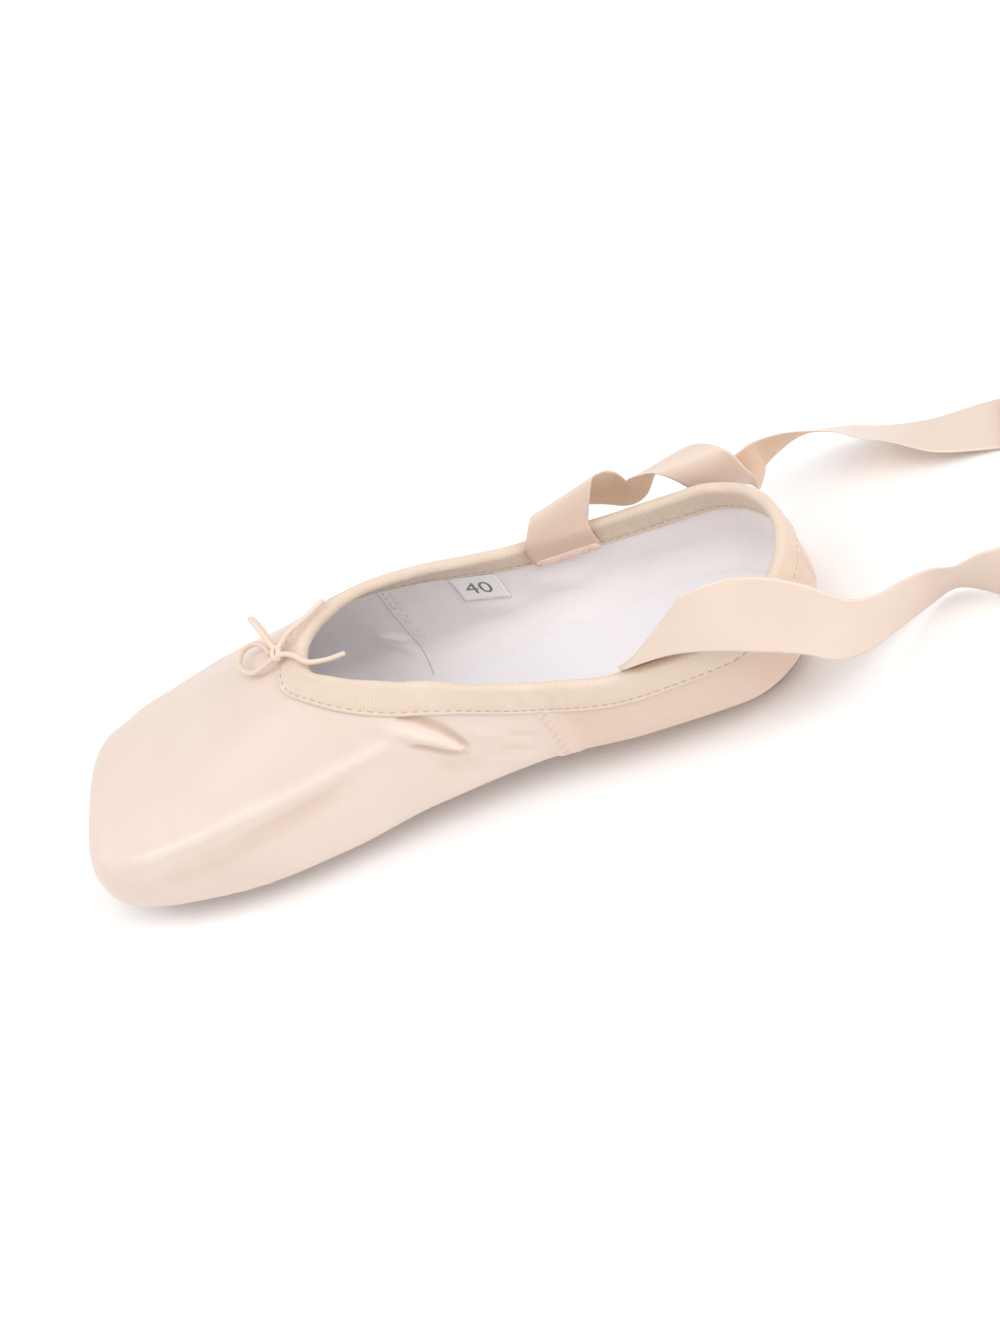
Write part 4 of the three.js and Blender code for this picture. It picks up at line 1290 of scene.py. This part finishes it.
def ribbon_tail(start, run):
    """The middle of a ribbon on the floor, folded to and fro on itself."""
    at, y, lowest = start
    z = lowest
    way = -1
    tail = []
    for fold in range(RIBBON_TAIL_RUNS):
        rest = lowest + fold * RIBBON_LAYER
        for part in np.linspace(0, 1, 25)[1:]:
            settled = rest + (z - rest) * (1 - smoothstep(part * run, 0, RIBBON_FOLD_SETTLES))
            tail.append((at + way * run * part, y + RIBBON_TAIL_DRIFT * part, settled))
        at, y, z = tail[-1]
        if fold < RIBBON_TAIL_RUNS - 1:
            for angle in np.linspace(0, np.pi, 13)[1:]:
                tail.append((at + way * RIBBON_FOLD_RADIUS * math.sin(angle), y,
                             z + RIBBON_FOLD_RADIUS * (1 - math.cos(angle))))
            z += 2 * RIBBON_FOLD_RADIUS
            way = -way
    return np.array(tail)


def ribbon_edges(rows, total):
    """Both edges of a ribbon: through its bends, then in folds on the floor."""
    toe = smooth_through([row["toe_edge"] for row in rows], RIBBON_STEPS)
    heel = smooth_through([row["heel_edge"] for row in rows], RIBBON_STEPS)
    used = (Line(toe).total + Line(heel).total) / 2
    bends = (RIBBON_TAIL_RUNS - 1) * np.pi * RIBBON_FOLD_RADIUS
    half = (heel[-1] - toe[-1]) / 2
    tail = ribbon_tail(toe[-1] + half, (total - used - bends) / RIBBON_TAIL_RUNS)
    return np.concatenate([toe, tail - half]), np.concatenate([heel, tail + half])


class POINTE_OT_ribbons(bpy.types.Operator):
    """Make both ribbons with their folded and sewn ends"""

    bl_idname = "pointe_shoe.ribbons"
    bl_label = "Ribbons"

    def execute(self, context):
        face = ribbon_finish("ribbon face", "ribbon", 0.34, 0.3)
        back = ribbon_finish("ribbon back", "ribbon_back", 0.6, 0.15)
        for name, rows, node, satin_side in (
            ("far_ribbon", FAR_RIBBON, "ribbon_far", -1),
            ("near_ribbon", NEAR_RIBBON, "ribbon_near", 1),
        ):
            self.ribbon(name, rows, node, satin_side, [face, back])
        return {"FINISHED"}

    @classmethod
    def ribbon(cls, name, rows, node, satin_side, materials):
        width = length("ribbon_width")
        total = length("ribbon_length")
        toe, heel = ribbon_edges(rows, total)
        share = np.linspace(0, 1, RIBBON_STRANDS + 1)
        sheet = toe[:, None] * (1 - share[None, :, None]) + heel[:, None] * share[None, :, None]
        gone = Line(sheet[:, RIBBON_STRANDS // 2]).length
        free = smoothstep(gone, 14, 40) * (1 - smoothstep(gone, 175, 205))
        cup = 0.4 * np.sin(gone / 17.0)[:, None] * (1 - (2 * share[None] - 1) ** 2)
        ripple = 0.16 * np.sin(gone[:, None] / 6.5 + 4.0 * share[None])
        normals = unit(np.cross(np.gradient(sheet, axis=0), np.gradient(sheet, axis=1)))
        sheet = sheet + normals * ((cup + ripple) * free[:, None])[..., None]
        if satin_side > 0:
            sheet = sheet[:, ::-1]
        mesh = laid_grid(name, sheet, (width, total), closed=False)
        hem = cls.hem(name, sheet)
        made = piece(name, mesh, materials, [node])
        solid = made.modifiers.new("cloth", "SOLIDIFY")
        solid.thickness = length("ribbon_thickness") * MILLIMETRE
        solid.offset = 0.0
        solid.material_offset = 1
        width * MILLIMETRE
        total * MILLIMETRE

    @staticmethod
    def hem(name, sheet):
        """The ribbon's end folded under and held by a zigzag of stitches."""
        edge = sheet[0]
        along = unit(np.gradient(edge, axis=0))
        up = unit(sheet[12] - sheet[0])
        inward = unit(np.cross(along, up))
        ends = np.linspace(-1, 1, len(edge))
        full = np.sqrt(np.maximum(1 - np.abs(ends) ** 12, 0))
        turn = np.linspace(0, 2 * np.pi, 17)
        rise = squarer(np.sin(turn), 0.7)
        deep = np.cos(turn)
        wave = 0.12 * np.sin(ends * 9.0)
        high = HEM_HEIGHT / 2 * (rise[None] * full[:, None] - 0.2)
        out = HEM_CLEAR + wave[:, None] + HEM_THICKNESS / 2 * deep[None] * full[:, None]
        ring = edge[:, None] + up[:, None] * high[..., None] + inward[:, None] * out[..., None]
        mesh = laid_grid(name + "_hem", ring, (HEM_HEIGHT, 23.0))
        made = piece(name + "_hem", mesh, [thread("ribbon hem", "hem", 0.5)])
        places = []
        for k in range(HEM_STITCHES):
            i = (k + 0.5) / HEM_STITCHES * (len(edge) - 1)
            low, part = int(i), i - int(i)
            spot = edge[low] * (1 - part) + edge[low + 1] * part
            lean = 1 if k % 2 else -1
            spot = spot - up[low] * HEM_HEIGHT * 0.15 + inward[low] * (HEM_CLEAR + HEM_THICKNESS / 2)
            places.append((spot, up[low] * lean + along[low] * 0.9, inward[low]))
        stitches(name + "_stitches", places, (2.6, 0.4),
                 thread("ribbon thread", "thread_pink"))
        return made


def wing_seam(below):
    """How far along the shoe the lining's wing seam stands, at a depth below the rim."""
    share = (below - WING_SEAM_TOP) / (WING_SEAM_BOTTOM - WING_SEAM_TOP)
    return WING_SEAM_AT - WING_SEAM_LEAN * share + WING_SEAM_BOW * math.sin(math.pi * share)


def smooth_route(route, step):
    """Even points along a smooth curve through a route."""
    line = Line(smooth_through(route, 24))
    return line.point(np.linspace(0, 1, int(line.total / step) + 1)), line.total


def carried_frames(line, closed=False):
    """Two ways across a line at each point, carried along it without twisting."""
    if closed:
        ahead = unit(np.roll(line, -1, axis=0) - np.roll(line, 1, axis=0))
    else:
        ahead = unit(np.gradient(line, axis=0))
    side = np.cross(ahead[0], [0.0, 0.0, 1.0])
    if np.linalg.norm(side) < 0.1:
        side = np.cross(ahead[0], [0.0, 1.0, 0.0])
    sides = []
    for way in ahead:
        side = unit(side - way * (side @ way))
        sides.append(side)
    sides = np.array(sides)
    return sides, np.cross(ahead, sides)


def braided_tube(name, line, diameter, closed=False):
    """A tube of round braid along a line."""
    sides, ups = carried_frames(line, closed)
    around = np.linspace(0, 2 * np.pi, 25)
    gone = Line(line).length
    turn = gone[:, None] / diameter * 2.4
    braid = np.maximum(np.sin(4 * around[None] + 4 * turn), np.sin(4 * around[None] - 4 * turn))
    radius = diameter / 2 * (0.93 + 0.07 * braid)
    if not closed:
        to_end = np.minimum(gone, gone[-1] - gone)
        dome = np.sqrt(np.maximum(1 - (1 - np.minimum(to_end / (0.35 * diameter), 1)) ** 2, 0))
        radius = radius * dome[:, None]
    ring = (line[:, None] + sides[:, None] * (np.cos(around)[None] * radius)[..., None]
            + ups[:, None] * (np.sin(around)[None] * radius)[..., None])
    ring[:, -1] = ring[:, 0]
    if closed:
        ring = closed_round(ring)
    return laid_grid(name, ring, (diameter * 3.1, gone[-1]))


class POINTE_OT_bow(bpy.types.Operator):
    """Make the drawstring's bow: its knot, two loops and two ends"""

    bl_idname = "pointe_shoe.bow"
    bl_label = "Drawstring bow"

    def execute(self, context):
        diameter = length("cord_diameter")
        braid = thread("drawstring braid", "drawstring", 0.55)
        knot = self.knot(diameter, braid)
        for name, route, nodes in (
            ("drawstring_round_half", DRAWSTRING_ROUND, ("drawstring_loop_round", "drawstring_end_right")),
            ("drawstring_narrow_half", DRAWSTRING_NARROW, ("drawstring_loop_narrow", "drawstring_end_up")),
        ):
            line, total = smooth_route(route, 0.22)
            mesh = braided_tube(name, line, diameter)
            half = piece(name, mesh, [braid], nodes)
            diameter * MILLIMETRE
        return {"FINISHED"}

    @staticmethod
    def knot(diameter, braid):
        """Two bands of the cord drawn tight over the middle of the bow."""
        turn = np.linspace(0, 2 * np.pi, 61)[:-1]
        bm = bmesh.new()
        for lean, aside in ((0.5, 0.55), (-0.45, -0.55)):
            band = np.stack([aside + lean * 1.1 * np.sin(turn), 1.85 * np.cos(turn),
                             1.35 * np.sin(turn)], axis=-1)
            band = band + np.array(KNOT_AT)
            part = braided_tube("band", band, diameter, closed=True)
            bm.from_mesh(part)
            bpy.data.meshes.remove(part)
        mesh = into_mesh(bm, bpy.data.meshes.new("drawstring_centre"))
        return piece("drawstring_centre", mesh, [braid], ["drawstring_knot"])


class POINTE_OT_tag(bpy.types.Operator):
    """Make the size tag inside the far quarter"""

    bl_idname = "pointe_shoe.tag"
    bl_label = "Size tag"

    def execute(self, context):
        skin = Skin(SEWING_COLUMNS, SEWING_STEPS)
        across = np.linspace(0, 1, 17)
        down = np.linspace(0, 1, 11)
        grid = np.empty((len(across), len(down), 3))
        inward = np.empty_like(grid)
        for j, part in enumerate(down):
            for i, share in enumerate(across):
                below = TAG_TOP + (TAG_BOTTOM - TAG_TOP) * part
                spot, out, _ = skin.place(
                    TAG_FROM_AT + TAG_WIDTH * share, below, -1, TAG_CLEAR, inside=True
                )
                grid[i, j] = spot
                inward[i, j] = -out
        curl = TAG_CURL * down[None] ** 3 * (0.4 + across[:, None] * 0.6)
        grid = grid + inward * curl[..., None]
        back = grid - inward * TAG_THICKNESS
        ring = np.concatenate([grid, back[:, ::-1], grid[:, :1]], axis=1)
        mesh = laid_grid("woven_tag", ring, (22.0, 15.0))
        bm = bmesh.new()
        bm.from_mesh(mesh)
        bmesh.ops.holes_fill(bm, edges=bm.edges, sides=0)
        bmesh.ops.recalc_face_normals(bm, faces=bm.faces)
        bm.to_mesh(mesh)
        bm.free()
        piece("woven_tag", mesh, [tag_finish()], ["size_tag"])
        self.number(grid, inward)
        return {"FINISHED"}

    @staticmethod
    def number(grid, inward):
        """A plain size number, laid on the tag."""
        text = bpy.data.curves.new("number", "FONT")
        text.body = "40"
        text.size = 1.0
        text.resolution_u = 4
        lettering = bpy.data.objects.new("number", text)
        bpy.context.scene.collection.objects.link(lettering)
        depsgraph = bpy.context.evaluated_depsgraph_get()
        mesh = bpy.data.meshes.new_from_object(lettering.evaluated_get(depsgraph))
        bpy.data.objects.remove(lettering)
        flat = mesh_places(mesh)
        low, high = flat.min(axis=0), flat.max(axis=0)
        u = (flat[:, 0] - low[0]) / (high[0] - low[0])
        v = (flat[:, 1] - low[1]) / (high[1] - low[1])
        columns, rows = grid.shape[0] - 1, grid.shape[1] - 1
        i = (0.80 - 0.55 * u) * columns
        j = (0.74 - 0.44 * v) * rows
        i0, j0 = i.astype(int), j.astype(int)
        di, dj = (i - i0)[:, None], (j - j0)[:, None]

        def sample(field):
            return (field[i0, j0] * (1 - di) * (1 - dj) + field[i0 + 1, j0] * di * (1 - dj)
                    + field[i0, j0 + 1] * (1 - di) * dj + field[i0 + 1, j0 + 1] * di * dj)

        spots = sample(grid) + sample(inward) * 0.06
        mesh.vertices.foreach_set("co", to_frame(spots).ravel())
        mesh.materials.clear()
        piece("tag_number", mesh, [thread("tag ink", "ink", 0.7)])


class POINTE_OT_seams(bpy.types.Operator):
    """Sew the side seams and the lining's wings"""

    bl_idname = "pointe_shoe.seams"
    bl_label = "Seam stitches"

    def execute(self, context):
        skin = Skin(SEWING_COLUMNS, SEWING_STEPS)
        outside = []
        for side in (1, -1):
            for k in range(SIDE_STITCHES):
                below = 11.0 + k * 1.5
                way = 1 if k % 2 else -1
                spot, out, ahead = skin.place(SIDE_STITCHES_AT, below, side, 0.62)
                down = np.cross(ahead, out)
                outside.append((spot + ahead * 0.7 * way, down + ahead * 1.1 * way, out))
        stitches("seam_stitches", outside, (1.9, 0.35), thread("seam thread", "thread_pink"))
        lining = []
        for side in (1, -1):
            for k in range(WING_STITCHES):
                below = 13.0 + k * 2.1
                for lean in (-1.6, -3.6):
                    spot, out, ahead = skin.place(wing_seam(below) + lean,
                                                  below + (0.8 if lean < -2 else 0), side,
                                                  0.1, inside=True)
                    down = np.cross(ahead, out)
                    tilt = 0.9 if k % 2 else -0.9
                    lining.append((spot, down + ahead * tilt, -out))
        stitches("lining_stitches", lining, (1.5, 0.3),
                 thread("lining thread", "thread_white"))
        for name, side in (("near_wing_seam", 1), ("far_wing_seam", -1)):
            route = [skin.place(wing_seam(below), below, side, 0.05, inside=True)[0]
                     for below in np.linspace(WING_SEAM_TOP, WING_SEAM_BOTTOM, 20)]
            line, _ = smooth_route(route, 0.5)
            tube = braided_tube(name, line, WING_SEAM_DIAMETER)
            # a real seam, its cord coloured darker as a painted shade line along the seam's step
            piece(name, tube, [thread("wing seam", "wing_seam", 0.8)])
        return {"FINISHED"}


class VIEW3D_PT_pointe_shoe(bpy.types.Panel):
    """Everything that makes the pointe shoe"""

    bl_label = "Pointe shoe"
    bl_space_type = "VIEW_3D"
    bl_region_type = "UI"
    bl_category = "Pointe shoe"

    def draw(self, context):
        layout = self.layout
        for operator in OPERATORS:
            layout.operator(operator.bl_idname)
        for group in (context.scene.pointe_sizes, context.scene.pointe_colours):
            column = layout.column(align=True)
            for name in group.__annotations__:
                column.prop(group, name)


OPERATORS = (
    POINTE_OT_stage,
    POINTE_OT_bow,
    POINTE_OT_satin,
    POINTE_OT_lining,
    POINTE_OT_outsole,
    POINTE_OT_binding,
    POINTE_OT_ribbons,
    POINTE_OT_tag,
    POINTE_OT_seams,
)
CLASSES = (PointeSizes, PointeColours, *OPERATORS, VIEW3D_PT_pointe_shoe)


def register():
    """Add the shoe's classes and settings."""
    for cls in CLASSES:
        bpy.utils.register_class(cls)
    bpy.types.Scene.pointe_sizes = bpy.props.PointerProperty(type=PointeSizes)
    bpy.types.Scene.pointe_colours = bpy.props.PointerProperty(type=PointeColours)


def unregister():
    """Take them away again."""
    del bpy.types.Scene.pointe_colours
    del bpy.types.Scene.pointe_sizes
    for cls in reversed(CLASSES):
        bpy.utils.unregister_class(cls)


def main():
    """Make the whole shoe on its stage."""
    register()
    bpy.ops.pointe_shoe.stage()
    bpy.ops.pointe_shoe.bow()
    bpy.ops.pointe_shoe.satin()
    bpy.ops.pointe_shoe.lining()
    bpy.ops.pointe_shoe.outsole()
    bpy.ops.pointe_shoe.binding()
    bpy.ops.pointe_shoe.ribbons()
    bpy.ops.pointe_shoe.tag()
    bpy.ops.pointe_shoe.seams()


if __name__ == "__main__":
    main()
